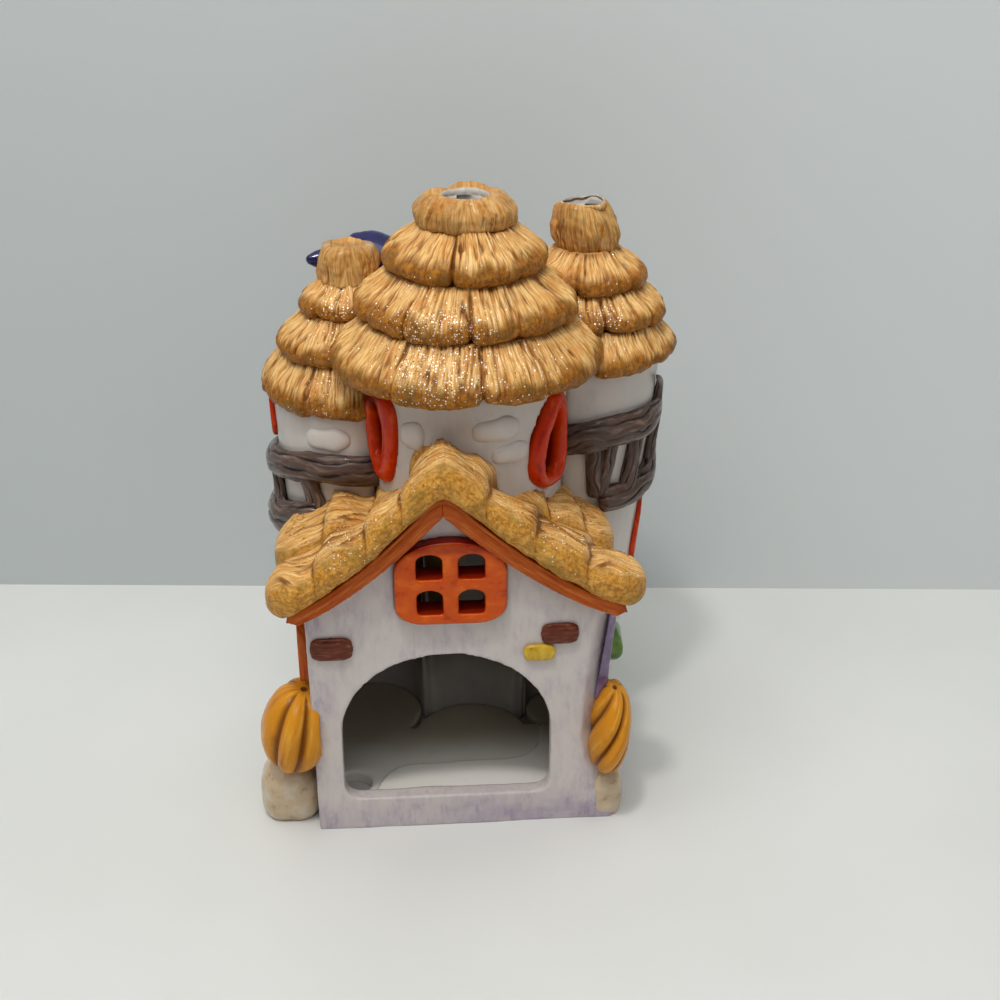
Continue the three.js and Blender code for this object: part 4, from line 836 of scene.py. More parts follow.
def add_stone(node, spec, material):
    """A flat cushion of clay standing a little out of a tower's wall."""
    deselect()
    bpy.ops.mesh.primitive_uv_sphere_add(radius=1, **STONE_BALL)
    piece = named_active(node)
    ball = get_points(piece)
    across = np.sign(ball[:, 0]) * np.abs(ball[:, 0]) ** 0.72 * spec["half"][0]
    up = np.sign(ball[:, 2]) * np.abs(ball[:, 2]) ** 0.72 * spec["half"][1]
    up = up * (1 + 0.10 * np.sin(across * 0.7)) + 0.05 * across
    lumps = 0.12 * wobble(columns(across, up, 0), 2.6, 77)
    proud = -ball[:, 1] * spec["proud"] - 0.12 + lumps
    azimuth, height = spec["at"]
    radius = TOWER_WALLS[spec["tower"]][1][2]
    turn = azimuth + np.degrees(across / radius)
    set_points(piece, tower_point(spec["tower"], turn, height + up, proud) * MM)
    return finish(piece, material, node)


def within(azimuth, height, outline):
    """Whether each place on a wall lies inside a closed outline of azimuths and heights."""
    outline = np.array(outline, float)
    inside = np.zeros(len(azimuth), bool)
    for start, end in zip(outline, np.roll(outline, -1, axis=0)):
        crosses = (start[1] > height) != (end[1] > height)
        slope = (end[0] - start[0]) / ((end[1] - start[1]) or 1e-9)
        inside ^= crosses & (azimuth < start[0] + slope * (height - start[1]))
    return inside


def keep_outside(points, wall):
    """Cuts off the part of a piece that would come through a side wall, flat inside the wall."""
    cut = np.minimum if wall < 0 else np.maximum
    points[:, 0] = cut(points[:, 0], wall)
    return points


def add_pumpkin(node, spec, material):
    """A pumpkin of five fat ribs, dimpled at both ends, leaning against its corner."""
    deselect()
    bpy.ops.mesh.primitive_uv_sphere_add(radius=1, **PUMPKIN_BALL)
    piece = named_active(node)
    ball = get_points(piece)
    turn = np.arctan2(ball[:, 1], ball[:, 0])
    around = np.hypot(ball[:, 0], ball[:, 1])
    grooves = np.radians(spec["grooves"])
    near = np.abs((turn[:, None] - grooves + math.pi) % (2 * math.pi) - math.pi).min(axis=1)
    valley = np.exp(-((near / 0.3) ** 2))
    crease = np.exp(-((near / 0.1) ** 2))
    lumps = wobble(ball * 3, 1.0, spec["seed"])
    draw = 1 - (0.12 * valley + 0.09 * crease) * around ** 0.6 + 0.02 * lumps
    sink = 1 - 0.16 * (1 - around) ** 2
    angle = turn + np.radians(spec["twist"] * ball[:, 2])
    reach = around * draw
    shape = columns(reach * np.cos(angle), reach * np.sin(angle), ball[:, 2] * sink)
    lean = np.array(Matrix.Rotation(math.radians(spec["lean"]), 3, "Y"))
    points = keep_outside((shape * spec["size"]) @ lean.T + spec["at"], spec["wall"])
    set_points(piece, points * MM)
    pole = 1 - rise(around, 0.05, 0.16)
    stain = np.clip((0.42 * valley + 0.4 * crease) * rise(around, 0.1, 0.5) + pole, 0, 1)
    paint(piece, "glaze", columns(stain, 0, 0))
    paint(piece, "grain", columns(turn * 10, ball[:, 2] * 12, 0))
    return finish(piece, material, node)


def add_foot_stone(node, spec, material):
    """A worn boulder at the foot of a corner, flat where it stands on the table."""
    deselect()
    bpy.ops.mesh.primitive_uv_sphere_add(radius=1, **FOOT_STONE_BALL)
    piece = named_active(node)
    ball = get_points(piece)
    shape = np.sign(ball) * np.abs(ball) ** 0.72 * spec["size"]
    facets = np.round(wobble(shape, 5.0, spec["seed"] + 2) * 2) * 0.5
    shape *= (1 + 0.04 * wobble(shape, 6.0, spec["seed"]) + 0.02 * facets)[:, None]
    shape += (0.16 * wobble(shape, 1.6, spec["seed"] + 1))[:, None] * ball
    shape = keep_outside(shape + spec["at"], spec["wall"])
    shape[:, 2] = np.maximum(shape[:, 2], 0)
    set_points(piece, shape * MM)
    return finish(piece, material, node)


def clay_copy(node, grain, soften, swell):
    """A copy of a frame node with its corners softened and its skin swollen, as glazed clay has them."""
    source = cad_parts[node]
    piece = source.copy()
    piece.data = source.data.copy()
    for key in list(piece.keys()):
        del piece[key]
    piece.name = f"{node}_glazed"
    piece.parent = None
    piece.matrix_world = Matrix.Identity(4)
    bpy.context.scene.collection.objects.link(piece)
    activate(piece)
    bpy.ops.object.mode_set(mode="EDIT")
    bpy.ops.mesh.select_all(action="SELECT")
    bpy.ops.mesh.remove_doubles(threshold=CAD_WELD)
    bpy.ops.object.mode_set(mode="OBJECT")
    remesh = piece.modifiers.new("Clay", "REMESH")
    remesh.mode = "VOXEL"
    remesh.voxel_size = grain * MM
    bpy.ops.object.modifier_apply(modifier=remesh.name)
    smooth = piece.modifiers.new("Wipe", "SMOOTH")
    smooth.factor = 0.5
    smooth.iterations = soften
    bpy.ops.object.modifier_apply(modifier=smooth.name)
    set_points(piece, get_points(piece) + get_normals(piece) * swell * MM)
    return piece


def add_clay(node, material, grain, soften, swell, carve=None, glaze=None):
    """A glazed copy of a frame node. Grain is the size of its facets, soften how often it is wiped and
    swell how much glaze lies on it. Carve moves its surface and glaze gives its painted values."""
    piece = clay_copy(node, grain, soften, swell)
    points = get_points(piece) / MM
    normals = get_normals(piece)
    if carve:
        points = carve(points, normals)
    points[:, 2] = np.maximum(points[:, 2], 0)
    set_points(piece, points * MM)
    if glaze:
        stain, tone, third, grain_at = glaze(points, normals)
        paint(piece, "glaze", columns(stain, tone, third))
        paint(piece, "grain", grain_at)
    return finish(piece, material, node)


class Shader:
    """A material's node tree, built a node at a time."""

    def __init__(self, name, **surface):
        self.material = bpy.data.materials.new(name)
        self.material.use_nodes = True
        self.tree = self.material.node_tree
        self.surface = self.tree.nodes["Principled BSDF"]
        for key, value in surface.items():
            self.surface.inputs[key.replace("_", " ")].default_value = value

    def node(self, kind, inputs=None, **settings):
        """A new node with its inputs and settings."""
        made = self.tree.nodes.new(kind)
        for key, value in settings.items():
            setattr(made, key, value)
        for key, value in (inputs or {}).items():
            self.feed(made.inputs[key], value)
        return made

    def feed(self, socket, value):
        """Links an input to another node's output, or sets it to a value."""
        if isinstance(value, bpy.types.NodeSocket):
            self.tree.links.new(value, socket)
        else:
            socket.default_value = value

    def link(self, output, name):
        """Links an output to an input of the surface."""
        self.tree.links.new(output, self.surface.inputs[name])

    def painted(self, name):
        """The vector that paint() stored under a name."""
        return self.node("ShaderNodeAttribute", attribute_name=name).outputs["Vector"]

    def split(self, vector):
        """The three parts of a vector."""
        return self.node("ShaderNodeSeparateXYZ", {"Vector": vector}).outputs

    def scaled(self, vector, scale):
        """A vector times a scale for each axis."""
        return self.node("ShaderNodeMapping", {"Vector": vector, "Scale": scale}).outputs["Vector"]

    def place(self, scale=(1000, 1000, 1000)):
        """Where a point is on its piece, in millimetres unless scaled otherwise."""
        at = self.node("ShaderNodeTexCoord").outputs["Object"]
        return self.scaled(at, scale)

    def noise(self, vector, scale=1.0, detail=3.0, roughness=0.55):
        """Cloudy noise, mostly between 0.3 and 0.7."""
        return self.node("ShaderNodeTexNoise", {
            "Vector": vector, "Scale": scale, "Detail": detail, "Roughness": roughness}).outputs["Fac"]

    def range(self, value, low, high, to_low=0.0, to_high=1.0):
        """A smooth step of a value between two levels."""
        return self.node("ShaderNodeMapRange", {
            "Value": value, "From Min": low, "From Max": high, "To Min": to_low, "To Max": to_high,
        }, interpolation_type="SMOOTHSTEP").outputs["Result"]

    def math(self, operation, a, b):
        """Two values added, multiplied or compared; sums and products stay between 0 and 1."""
        clamp = operation in ("ADD", "MULTIPLY")
        return self.node("ShaderNodeMath", {0: a, 1: b}, operation=operation, use_clamp=clamp).outputs[0]

    def mix(self, share, a, b):
        """A blend from colour a to colour b, each a socket or 0 to 255 steps."""
        made = self.node("ShaderNodeMix", {0: share}, data_type="RGBA")
        for index, colour in ((6, a), (7, b)):
            self.feed(made.inputs[index], srgb(colour) if isinstance(colour, tuple) else colour)
        return made.outputs[2]

    def bump(self, height, strength, distance, below=None):
        """A normal tilted by a height, over another bump if one is given."""
        inputs = {"Height": height, "Strength": strength, "Distance": distance * MM}
        if below is not None:
            inputs["Normal"] = below
        return self.node("ShaderNodeBump", inputs).outputs["Normal"]


def srgb(colour):
    """A colour given as 0 to 255 steps, as the shader's linear values."""
    linear = [(c / 255 / 12.92 if c <= 10 else ((c / 255 + 0.055) / 1.055) ** 2.4) for c in colour]
    return (*linear, 1.0)


def thatch_glaze(name, rims):
    """Straw: ochre strands, brown in the grooves and as painted shade under the rims and at the joins,
    glitter, and the four colours of its rolled rims.
    """
    shader = Shader(name, Roughness=0.38, Specular_IOR_Level=0.05, Coat_Weight=0.22, Coat_Roughness=0.08)
    stain, rim, glitter = shader.split(shader.painted("glaze"))
    grain = shader.painted("grain")
    fibre = shader.noise(shader.scaled(grain, (1 / 0.8, 1 / 7.0, 1)), detail=4, roughness=0.6)
    hair = shader.noise(shader.scaled(grain, (1 / 0.35, 1 / 4.0, 1)), detail=2)
    cloud = shader.noise(shader.place(), 1 / 6.0, 3)
    patch = shader.noise(shader.place(), 1 / 2.2, 3, 0.6)
    fleck = shader.noise(shader.place(), 1 / 0.9, 3, 0.7)
    dark, middle, light, bleached, orange = STRAW
    straw = shader.mix(shader.range(fibre, 0.38, 0.64), middle, light)
    straw = shader.mix(shader.range(hair, 0.5, 0.72, 0, 0.6), straw, bleached)
    straw = shader.mix(shader.range(hair, 0.46, 0.3, 0, 0.5), straw, dark)
    straw = shader.mix(shader.range(cloud, 0.5, 0.7, 0, 0.5), straw, orange)
    rolled = shader.mix(shader.range(fleck, 0.36, 0.64), rims[0], rims[1])
    rolled = shader.mix(shader.range(patch, 0.5, 0.68, 0, 0.45), rolled, rims[2])
    rolled = shader.mix(shader.range(cloud, 0.36, 0.52, 0.6, 0), rolled, rims[3])
    base = shader.mix(shader.math("MULTIPLY", rim, 0.9), straw, rolled)
    # Burnt brown in the grooves, and painted shade under the rims and at the joins
    stain_and_shade_brown = shader.mix(shader.range(cloud, 0.4, 0.6), *BROWN_STAIN_AND_SHADE)
    base = shader.mix(shader.range(stain, 0.1, 0.95, 0, 0.9), base, stain_and_shade_brown)
    cells = shader.node("ShaderNodeTexVoronoi", {"Vector": shader.place(), "Scale": 1 / 0.52})
    picked = shader.split(cells.outputs["Color"])
    speck = shader.math("MULTIPLY", shader.math("LESS_THAN", cells.outputs["Distance"], 0.36),
                        shader.math("LESS_THAN", picked[0], shader.math("MULTIPLY", glitter, 0.6)))
    foil = shader.mix(shader.range(picked[2], 0.3, 0.34), *GLITTER_FOIL)
    base = shader.mix(speck, base, foil)
    shader.link(base, "Base Color")
    shader.link(shader.math("MULTIPLY", speck, 0.4), "Metallic")
    low = shader.bump(fibre, 0.5, 0.35)
    mixed = shader.mix(rim, shader_grey(shader, hair), shader_grey(shader, fleck))
    fine = shader.bump(mixed, 0.4, 0.25, low)
    tilt = shader.bump(picked[1], shader.math("MULTIPLY", speck, 0.8), 0.4, fine)
    shader.link(tilt, "Normal")
    return shader.material


def shader_grey(shader, value):
    """A single value as a grey colour socket."""
    return shader.node("ShaderNodeCombineXYZ", {"X": value, "Y": value, "Z": value}).outputs["Vector"]


def chimney_glaze():
    """The thatch's straw, with bare white glaze down the flue."""
    material = thatch_glaze("chimney_glaze", TOWER_RIMS)
    tree = material.node_tree
    surface = tree.nodes["Principled BSDF"]
    straw = surface.inputs["Base Color"].links[0].from_socket
    bare = tree.nodes.new("ShaderNodeAttribute")
    bare.attribute_name = "bare"
    mix = tree.nodes.new("ShaderNodeMix")
    mix.data_type = "RGBA"
    mix.inputs[7].default_value = srgb(BARE_WHITE)
    tree.links.new(bare.outputs["Fac"], mix.inputs[0])
    tree.links.new(straw, mix.inputs[6])
    tree.links.new(mix.outputs[2], surface.inputs["Base Color"])
    return material


def wall_glaze(name, white, wash):
    """White glaze with a purple wash wiped off it, kept where a piece's painted tone is strong, and
    painted shade in dark clay browns on the inside, stronger higher up."""
    shader = Shader(name, Roughness=0.3, Specular_IOR_Level=0.15, Coat_Weight=0.3, Coat_Roughness=0.05)
    room_shade, tone, blue = shader.split(shader.painted("glaze"))
    brush = shader.noise(shader.place((700, 700, 260)), 1.0, 5, 0.62)
    smear = shader.noise(shader.place((260, 260, 110)), 1.0, 4, 0.6)
    cloud = shader.noise(shader.place(), 1 / 14.0, 3)
    fleck = shader.noise(shader.place(), 1 / 1.6, 2)
    caught = shader.math("MULTIPLY", shader.range(brush, 0.3, 0.74), shader.range(smear, 0.28, 0.7))
    held = shader.math("ADD", caught, shader.math("MULTIPLY", tone, 0.4))
    toned = shader.math("ADD", tone, shader.range(cloud, 0.45, 0.75, 0, 0.2))
    share = shader.math("MULTIPLY", held, toned)
    base = shader.mix(share, white, wash)
    smeared = shader.math("MULTIPLY", blue, shader.range(smear, 0.42, 0.66))
    base = shader.mix(smeared, base, EAVES_BLUE)
    base = shader.mix(shader.range(fleck, 0.68, 0.8, 0, 0.3), base, GREY_FLECKS)
    red, washed, _ = shader.split(shader.painted("grain"))
    wide = shader.noise(shader.place((60, 60, 200)), 1.0, 4, 0.6)
    wiped = shader.math("MULTIPLY", washed, shader.range(wide, 0.36, 0.66, 0.1, 0.55))
    base = shader.mix(wiped, base, FOOT_WASH)
    room_shade_brown = shader.mix(shader.range(cloud, 0.35, 0.65), *ROOM_SHADE_BROWNS)
    # Painted shade inside the room, in clay browns
    base = shader.mix(room_shade, base, room_shade_brown)
    base = shader.mix(red, base, shader.mix(shader.range(fleck, 0.3, 0.7), *WINDOW_RED))
    shader.link(base, "Base Color")
    shader.link(shader.bump(fleck, 0.12, 0.2, shader.bump(brush, 0.2, 0.3)), "Normal")
    return shader.material


def streaked_glaze(name):
    """A strong glaze brushed along its piece: light and dark streaks, and a dark colour where its painted
    stain is strong: stain in the hollows on some pieces, painted shade on others.
    """
    middle, light, dark, stain_and_shade_colour, stretch, roughness, coat = STREAKED[name]
    shader = Shader(
        name, Roughness=roughness, Specular_IOR_Level=0.06, Coat_Weight=0.35 * coat, Coat_Roughness=0.05)
    grain = shader.painted("grain")
    stain = shader.split(shader.painted("glaze"))[0]
    streak = shader.noise(shader.scaled(grain, tuple(1 / s for s in stretch)), 1.0, 4, 0.6)
    cloud = shader.noise(shader.place(), 1 / 5.0, 2)
    base = shader.mix(shader.range(streak, 0.48, 0.72), middle, light)
    base = shader.mix(shader.range(streak, 0.46, 0.28), base, dark)
    base = shader.mix(shader.range(cloud, 0.55, 0.75, 0, 0.4), base, dark)
    # Stain in the hollows, or painted shade, as each piece's painted values give it
    base = shader.mix(shader.range(stain, 0.15, 0.95, 0, 0.95), base, stain_and_shade_colour)
    shader.link(base, "Base Color")
    shader.link(shader.bump(streak, 0.4, 0.35), "Normal")
    return shader.material


def mottled_glaze(name):
    """A glaze that broke over its clay in soft patches."""
    middle, light, dark, size, roughness, coat = MOTTLED[name]
    shader = Shader(
        name, Roughness=roughness, Specular_IOR_Level=0.25, Coat_Weight=0.6 * coat, Coat_Roughness=0.07)
    patch = shader.noise(shader.place(), 1 / size, 4, 0.6)
    fleck = shader.noise(shader.place(), 4 / size, 3, 0.6)
    base = shader.mix(shader.range(patch, 0.45, 0.68), middle, light)
    base = shader.mix(shader.range(patch, 0.44, 0.3), base, dark)
    base = shader.mix(shader.range(fleck, 0.58, 0.75, 0, 0.5), base, dark)
    shader.link(base, "Base Color")
    shader.link(shader.bump(fleck, 0.25, 0.2), "Normal")
    return shader.material


def world_grain(points, normals):
    """Painted values for a piece that is brushed upright and stained nowhere."""
    none = np.zeros(len(points))
    return none, none, none, columns(points[:, 0] + points[:, 1], points[:, 2], none)


def room_shade_at(points, inner):
    """Painted shade on the inner faces of the house: faint by the floor, full from 30 mm up in the room."""
    return inner * (0.15 + 0.85 * rise(points[:, 2], 6.0, 30.0))


def house_values(points, normals):
    """Painted values of a house wall: a purple wash under the eaves, at the foot and by the corners, and
    painted shade on its inner faces.
    """
    below = roof_top(points[:, 0]) - GABLE["thatch"] - points[:, 2]
    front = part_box("house_front_wall")[0].y / MM
    inner = np.where(np.abs(points[:, 0]) < 36.4, rise(points[:, 1], front + 3.2, front + 4.0), 0.0)
    patch = wobble(points, 7.0, 93) * 0.5 + 0.5
    eaves = (1 - rise(below, 0.5, 8.0)) * (0.45 + 0.55 * patch)
    foot = (1 - rise(points[:, 2], 3.0, 12.0)) * 0.3
    corner = rise(np.abs(points[:, 0]), 31.0, 38.0) * 0.4 * patch
    tone = np.clip(0.3 + 0.2 * (patch - 0.5) + eaves + foot + corner, 0, 1)
    blue = np.clip((1 - rise(below, 0.5, 6.0)) * rise(patch, 0.4, 0.7) + 0.5 * corner, 0, 1)
    blue = blue * rise(np.abs(points[:, 0]), 16.0, 24.0)
    washed = (1 - rise(points[:, 2], 2.0, 12.0)) * (0.3 + 0.7 * rise(points[:, 0], -14.0, 8.0))
    none = 0 * tone
    # The inner faces carry the room's painted shade
    return room_shade_at(points, inner), tone, blue, columns(none, washed, none)


def tower_values(tower):
    """Painted values of a tower's wall: clean white, with painted shade on its inner faces."""
    def values(points, normals):
        foot, head, top = TOWER_WALLS[tower]
        share = np.clip(points[:, 2] / top, 0, 1)[:, None]
        middle = (1 - share) * np.array(foot) + share * np.array(head)
        radius = np.hypot(points[:, 0] - middle[:, 0], points[:, 1] - middle[:, 1])
        inner = 1 - rise(radius - middle[:, 2], -2.6, -1.6)
        none = np.zeros(len(points))
        tone = 0.06 + 0.2 * rise(wobble(points, 9.0, 94), 0.0, 0.5)
        azimuth = np.degrees(np.arctan2(points[:, 0] - middle[:, 0], middle[:, 1] - points[:, 1]))
        red = none
        if tower == "centre":
            behind = [within(azimuth, points[:, 2], spec["outside"]) for spec in FRAMES.values()]
            red = 1.0 * np.any(behind, axis=0)
        # The inner faces carry the room's painted shade, except behind the frames
        return room_shade_at(points, inner) * (1 - red), tone, none, columns(red, none, none)
    return values


def board_grain_and_shade(points, normals):
    """Painted values of a barge board: brushed along the slope, with painted shade against the thatch
    above it and on its downward faces.
    """
    under = roof_top(points[:, 0]) - GABLE["thatch"]
    below = under - points[:, 2]
    run = np.abs(points[:, 0] - GABLE["ridge_x"]) * 1.2
    # Painted shade: darkest just under the thatch and on the faces that turn downwards
    stain = 0.75 * (1 - rise(below, 0.2, 1.8)) + 0.35 * rise(-normals[:, 2], 0.3, 0.9)
    return np.clip(stain, 0, 1), 0 * run, 0 * run, columns(below, run, 0)


def slope_carve(points, normals):
    """A shallow groove tooled along a barge board."""
    below = roof_top(points[:, 0]) - GABLE["thatch"] - points[:, 2]
    run = np.abs(points[:, 0] - GABLE["ridge_x"])
    where = columns(below, run * 0.12, 0)
    facing = rise(-normals[:, 1], 0.2, 0.8)
    return points + normals * ((0.35 * wobble(where, 1.2, 81) - 0.25) * facing)[:, None]


def floor_light_and_shade(points, normals):
    """Painted values of the floor: painted light, pale by the mouth, and painted shade, browner towards
    the back of the room.
    """
    none = np.zeros(len(points))
    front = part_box("house_front_wall")[0].y / MM
    # Painted shade, deepening towards the back of the room
    back = rise(points[:, 1] + 2.0 * wobble(points, 8.0, 95), front + 16.0, front + 44.0)
    return back, none, none, columns(none, none, none)


def uneven(points, normals):
    """A hand-smoothed wall's slight waves."""
    return points + normals * (0.22 * wobble(points, 9.0, 91) + 0.07 * wobble(points, 3.0, 92))[:, None]


def flare(points, normals):
    """The front wall's waves, and its right foot drawn out to the side."""
    moved = uneven(points, normals)
    moved[:, 0] += 3.4 * (1 - rise(points[:, 2], 0.0, 12.0)) ** 1.5 * rise(points[:, 0], 27.0, 35.5)
    return moved


def swell_horn(points, normals):
    """Thickens the navy form at its right end and lets it sag behind the chimney."""
    moved = points + normals * (1.8 * rise(points[:, 0], -25.0, -17.0))[:, None]
    moved[:, 2] -= 3.0 * rise(points[:, 0], -44.0, -37.0) * (1 - rise(points[:, 0], -30.0, -23.0))
    return moved


def round_window(points, normals):
    """Rounds the gable window's lower corners."""
    low, high = points.min(axis=0), points.max(axis=0)
    middle, half, reach = 0.5 * (low[0] + high[0]), 0.5 * (high[0] - low[0]), 5.5
    under = np.clip((low[2] + reach - points[:, 2]) / reach, 0, 1)
    moved = points.copy()
    moved[:, 0] = middle + (points[:, 0] - middle) * (1 - reach / half * (1 - np.sqrt(1 - under ** 2)))
    return moved


def window_values(points, normals):
    """Painted values of the gable window: painted shade in dark red on faces turned from the front, round
    its panes and its edge, and a dark red band over its arch.
    """
    # Painted shade in dark red on every face turned from the front, the panes' reveals most of all
    edge = 0.85 * rise(normals[:, 1], -0.8, -0.25)
    top = 0.6 * rise(points[:, 2], 83.0, 86.4)
    none = 0 * edge
    return np.clip(edge + top, 0, 1), none, none, columns(points[:, 2], points[:, 0], none)


def trim_shutter(points, normals):
    """Keeps the shutter behind the slanting edge of the front wall."""
    moved = points.copy()
    moved[:, 0] = np.maximum(moved[:, 0], 36.0 + 0.12 * (points[:, 2] - 38))
    return moved


def round_leaf(points, normals):
    """Rounds the leaf's outline and draws its top to a point."""
    low, high = points.min(axis=0), points.max(axis=0)
    share = (points[:, 2] - low[2]) / (high[2] - low[2])
    full = np.sqrt(np.clip(1 - (2 * share - 0.9) ** 2 / 1.3, 0.02, 1))
    moved = points.copy()
    moved[:, 0] = low[0] + (points[:, 0] - low[0]) * full
    middle = 0.5 * (low[1] + high[1])
    moved[:, 1] = middle + (points[:, 1] - middle) * (0.35 + 0.65 * full)
    moved[:, 2] = low[2] + 0.8 + (points[:, 2] - low[2]) * 0.84
    return moved


class LuminarySettings(bpy.types.PropertyGroup):
    """The camera's angles, place and lens, which a user would change."""

    camera_azimuth: bpy.props.FloatProperty(
        name="Camera azimuth", description="Angle of the view round the house", default=math.radians(-4.0),
        subtype="ANGLE", unit="ROTATION")
    camera_drop: bpy.props.FloatProperty(
        name="Camera drop", description="Angle by which the camera looks down", default=math.radians(26.0),
        subtype="ANGLE", unit="ROTATION")
    camera_at: bpy.props.FloatVectorProperty(
        name="Camera position", description="Where the camera stands", default=(-0.0098, -0.328, 0.2411),
        subtype="TRANSLATION", unit="LENGTH")
    camera_lens: bpy.props.FloatProperty(
        name="Camera lens", description="Focal length on a 36 mm sensor", default=48.6, min=20, max=200)


class LUMINARY_OT_stage(bpy.types.Operator):
    """Adds the floor, the backdrop, the lamps and the camera"""

    bl_idname = "luminary.stage"
    bl_label = "Stage"

    def execute(self, context):
        settings = context.scene.luminary
        deselect()
        bpy.ops.mesh.primitive_plane_add(size=STAGE_SIZE, location=(0, 0, 0))
        floor = named_active("table_top")
        shader = Shader("table_white", Roughness=0.5)
        cloud = shader.noise(shader.place((12, 12, 12)), 1.0, 2)
        shader.link(shader.mix(shader.range(cloud, 0.3, 0.7), *TABLE_WHITES), "Base Color")
        floor.data.materials.append(shader.material)
        deselect()
        bpy.ops.mesh.primitive_plane_add(size=STAGE_SIZE, **BACKDROP)
        wall = named_active("backdrop")
        paper = Shader("backdrop_grey", Roughness=0.9)
        across = paper.split(paper.place((1, 1, 1)))[0]
        # Painted light across the backdrop, darker on the left and lighter to the right
        paper.link(paper.mix(paper.range(across, -0.3, 0.32), *BACKDROP_SHADE_TO_LIGHT), "Base Color")
        clear = paper.node("ShaderNodeBsdfTransparent")
        side = paper.node("ShaderNodeNewGeometry").outputs["Backfacing"]
        seen = {0: side, 1: paper.surface.outputs[0], 2: clear.outputs[0]}
        mix = paper.node("ShaderNodeMixShader", seen)
        paper.tree.links.new(mix.outputs[0], paper.tree.nodes["Material Output"].inputs["Surface"])
        wall.data.materials.append(paper.material)
        for name, spec in LAMPS.items():
            lamp = bpy.data.lights.new(name, "AREA")
            lamp.size = spec["size"]
            lamp.energy = spec["power"]
            lamp.color = spec["tint"]
            holder = bpy.data.objects.new(name, lamp)
            holder.location = spec["at"]
            aim = LAMP_AIM - Vector(spec["at"])
            holder.rotation_euler = aim.to_track_quat("-Z", "Y").to_euler()
            context.scene.collection.objects.link(holder)
        world = bpy.data.worlds.new("studio")
        world.use_nodes = True
        world.node_tree.nodes["Background"].inputs["Color"].default_value = STUDIO_AIR
        world.node_tree.nodes["Background"].inputs["Strength"].default_value = STUDIO_LEVEL
        context.scene.world = world
        camera = bpy.data.cameras.new("photo_camera")
        camera.lens = settings.camera_lens
        camera.sensor_width = SENSOR_WIDTH
        camera.clip_start = 0.01
        holder = bpy.data.objects.new("photo_camera", camera)
        holder.location = settings.camera_at
        holder.rotation_euler = (math.radians(90) - settings.camera_drop, 0, settings.camera_azimuth)
        context.scene.collection.objects.link(holder)
        context.scene.camera = holder
        context.scene.view_settings.view_transform = "Standard"
        return {"FINISHED"}


class LUMINARY_OT_tower_roofs(bpy.types.Operator):
    """Adds the thatched courses and the chimneys of the three towers"""

    bl_idname = "luminary.tower_roofs"
    bl_label = "Tower roofs"

    def execute(self, context):
        straw = thatch_glaze("thatch_glaze", TOWER_RIMS)
        for node, spec in COURSES.items():
            add_course(node, spec, straw)
        pot = chimney_glaze()
        for node, spec in CHIMNEYS.items():
            add_chimney(node, spec, pot)
        return {"FINISHED"}


class LUMINARY_OT_gable(bpy.types.Operator):
    """Adds the gable's thatch, its barge boards and its window"""

    bl_idname = "luminary.gable"
    bl_label = "Gable"

    def execute(self, context):
        straw = thatch_glaze("gable_thatch_glaze", GABLE_RIMS)
        for node, spec in SLOPES.items():
            add_slope(node, spec, straw)
        board = streaked_glaze("barge_board_glaze")
        for node in ("barge_board_left", "barge_board_right"):
            add_clay(node, board, grain=0.35, soften=3, swell=0.15, carve=slope_carve,
                     glaze=board_grain_and_shade)
        window = streaked_glaze("window_glaze")
        panes = streaked_glaze("gable_window_glaze")
        add_clay("gable_window", panes, grain=0.32, soften=22, swell=0.45, carve=round_window,
                 glaze=window_values)
        for node, spec in FRAMES.items():
            add_frame(node, spec, window)
        for node in ("left_tower_window", "right_tower_door"):
            add_clay(node, window, grain=0.32, soften=5, swell=0.1, glaze=world_grain)
        add_clay("side_window", board, grain=0.32, soften=5, swell=0.1, glaze=world_grain)
        return {"FINISHED"}


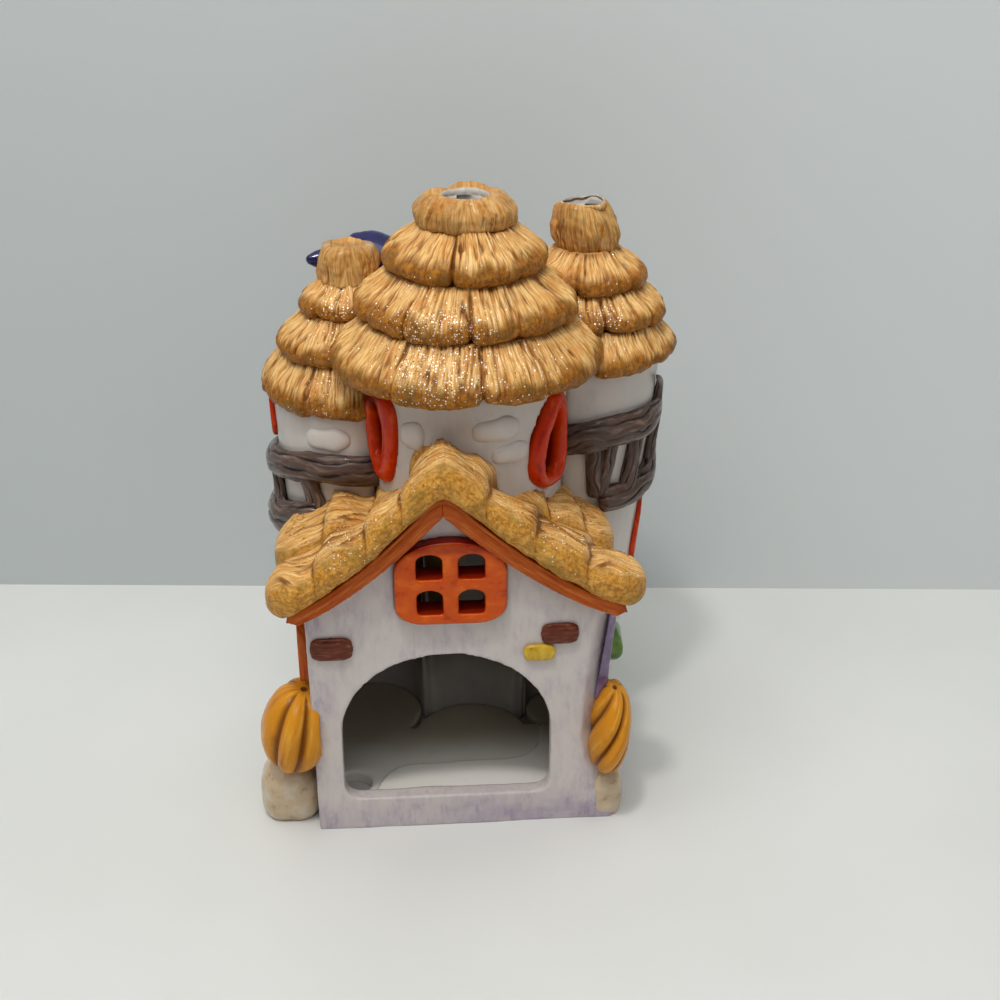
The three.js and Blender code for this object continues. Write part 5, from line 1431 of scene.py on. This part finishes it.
class LUMINARY_OT_walls(bpy.types.Operator):
    """Adds the glazed walls, the floor and the reliefs on them"""

    bl_idname = "luminary.walls"
    bl_label = "Walls"

    def execute(self, context):
        house = wall_glaze("house_wall_glaze", *HOUSE_GLAZE)
        tower = wall_glaze("tower_wall_glaze", *TOWER_GLAZE)
        inside = streaked_glaze("inside_glaze")
        stone = mottled_glaze("stone_glaze")
        add_clay("house_front_wall", house, grain=0.5, soften=5, swell=0.12, carve=flare,
                 glaze=house_values)
        for node in ("house_left_wall", "house_right_wall"):
            add_clay(node, house, grain=0.7, soften=4, swell=0.15, carve=uneven, glaze=house_values)
        for name in TOWER_WALLS:
            add_clay(f"{name}_tower_wall", tower, grain=0.9, soften=5, swell=0.15, carve=uneven,
                     glaze=tower_values(name))
        add_clay("base_floor", inside, grain=0.6, soften=5, swell=0.15, glaze=floor_light_and_shade)
        for node, spec in STONES.items():
            add_stone(node, spec, stone)
        brown = streaked_glaze("brown_brick_glaze")
        yellow = mottled_glaze("yellow_brick_glaze")
        for node in ("brick_brown_left", "brick_brown_right"):
            add_clay(node, brown, grain=0.28, soften=6, swell=0.25, glaze=world_grain)
        add_clay("brick_yellow", yellow, grain=0.28, soften=6, swell=0.25)
        purple = mottled_glaze("shutter_glaze")
        leaf = mottled_glaze("leaf_glaze")
        navy = mottled_glaze("navy_glaze")
        add_clay("side_shutter", purple, grain=0.3, soften=5, swell=0.15, carve=trim_shutter)
        add_clay("vine_leaf", leaf, grain=0.3, soften=12, swell=0.3, carve=round_leaf)
        add_clay("navy_horn", navy, grain=0.4, soften=10, swell=0.3, carve=swell_horn)
        return {"FINISHED"}


class LUMINARY_OT_rails(bpy.types.Operator):
    """Adds the balcony rails and their balusters"""

    bl_idname = "luminary.rails"
    bl_label = "Balcony rails"

    def execute(self, context):
        bark = streaked_glaze("rail_glaze")
        for node, spec in RAILS.items():
            add_rail(node, spec, bark)
        for node, spec in BALUSTERS.items():
            add_baluster(node, spec, bark)
        return {"FINISHED"}


class LUMINARY_OT_garden(bpy.types.Operator):
    """Adds the pumpkins and the stones at the front corners"""

    bl_idname = "luminary.garden"
    bl_label = "Garden"

    def execute(self, context):
        skin = streaked_glaze("pumpkin_glaze")
        foot = mottled_glaze("foot_stone_glaze")
        for node, spec in PUMPKINS.items():
            add_pumpkin(node, spec, skin)
        for node, spec in FOOT_STONES.items():
            add_foot_stone(node, spec, foot)
        return {"FINISHED"}


class LUMINARY_PT_panel(bpy.types.Panel):
    """Lists the luminary's build steps and camera settings in the sidebar"""

    bl_idname = "LUMINARY_PT_panel"
    bl_label = "Ceramic House Luminary"
    bl_space_type = "VIEW_3D"
    bl_region_type = "UI"
    bl_category = "Luminary"

    def draw(self, context):
        column = self.layout.column(align=True)
        for step in STEPS:
            column.operator(step.bl_idname)
        settings = context.scene.luminary
        for name in ("camera_azimuth", "camera_drop", "camera_at", "camera_lens"):
            column.prop(settings, name)


STEPS = (
    LUMINARY_OT_stage, LUMINARY_OT_tower_roofs, LUMINARY_OT_gable, LUMINARY_OT_walls, LUMINARY_OT_rails,
    LUMINARY_OT_garden,
)
CLASSES = (LuminarySettings, *STEPS, LUMINARY_PT_panel)


def register():
    for one in CLASSES:
        bpy.utils.register_class(one)
    bpy.types.Scene.luminary = bpy.props.PointerProperty(type=LuminarySettings)


def unregister():
    del bpy.types.Scene.luminary
    for one in reversed(CLASSES):
        bpy.utils.unregister_class(one)


def main():
    register()
    deselect()
    for step in STEPS:
        group, name = step.bl_idname.split(".")
        getattr(getattr(bpy.ops, group), name)()


if __name__ == "__main__":
    main()
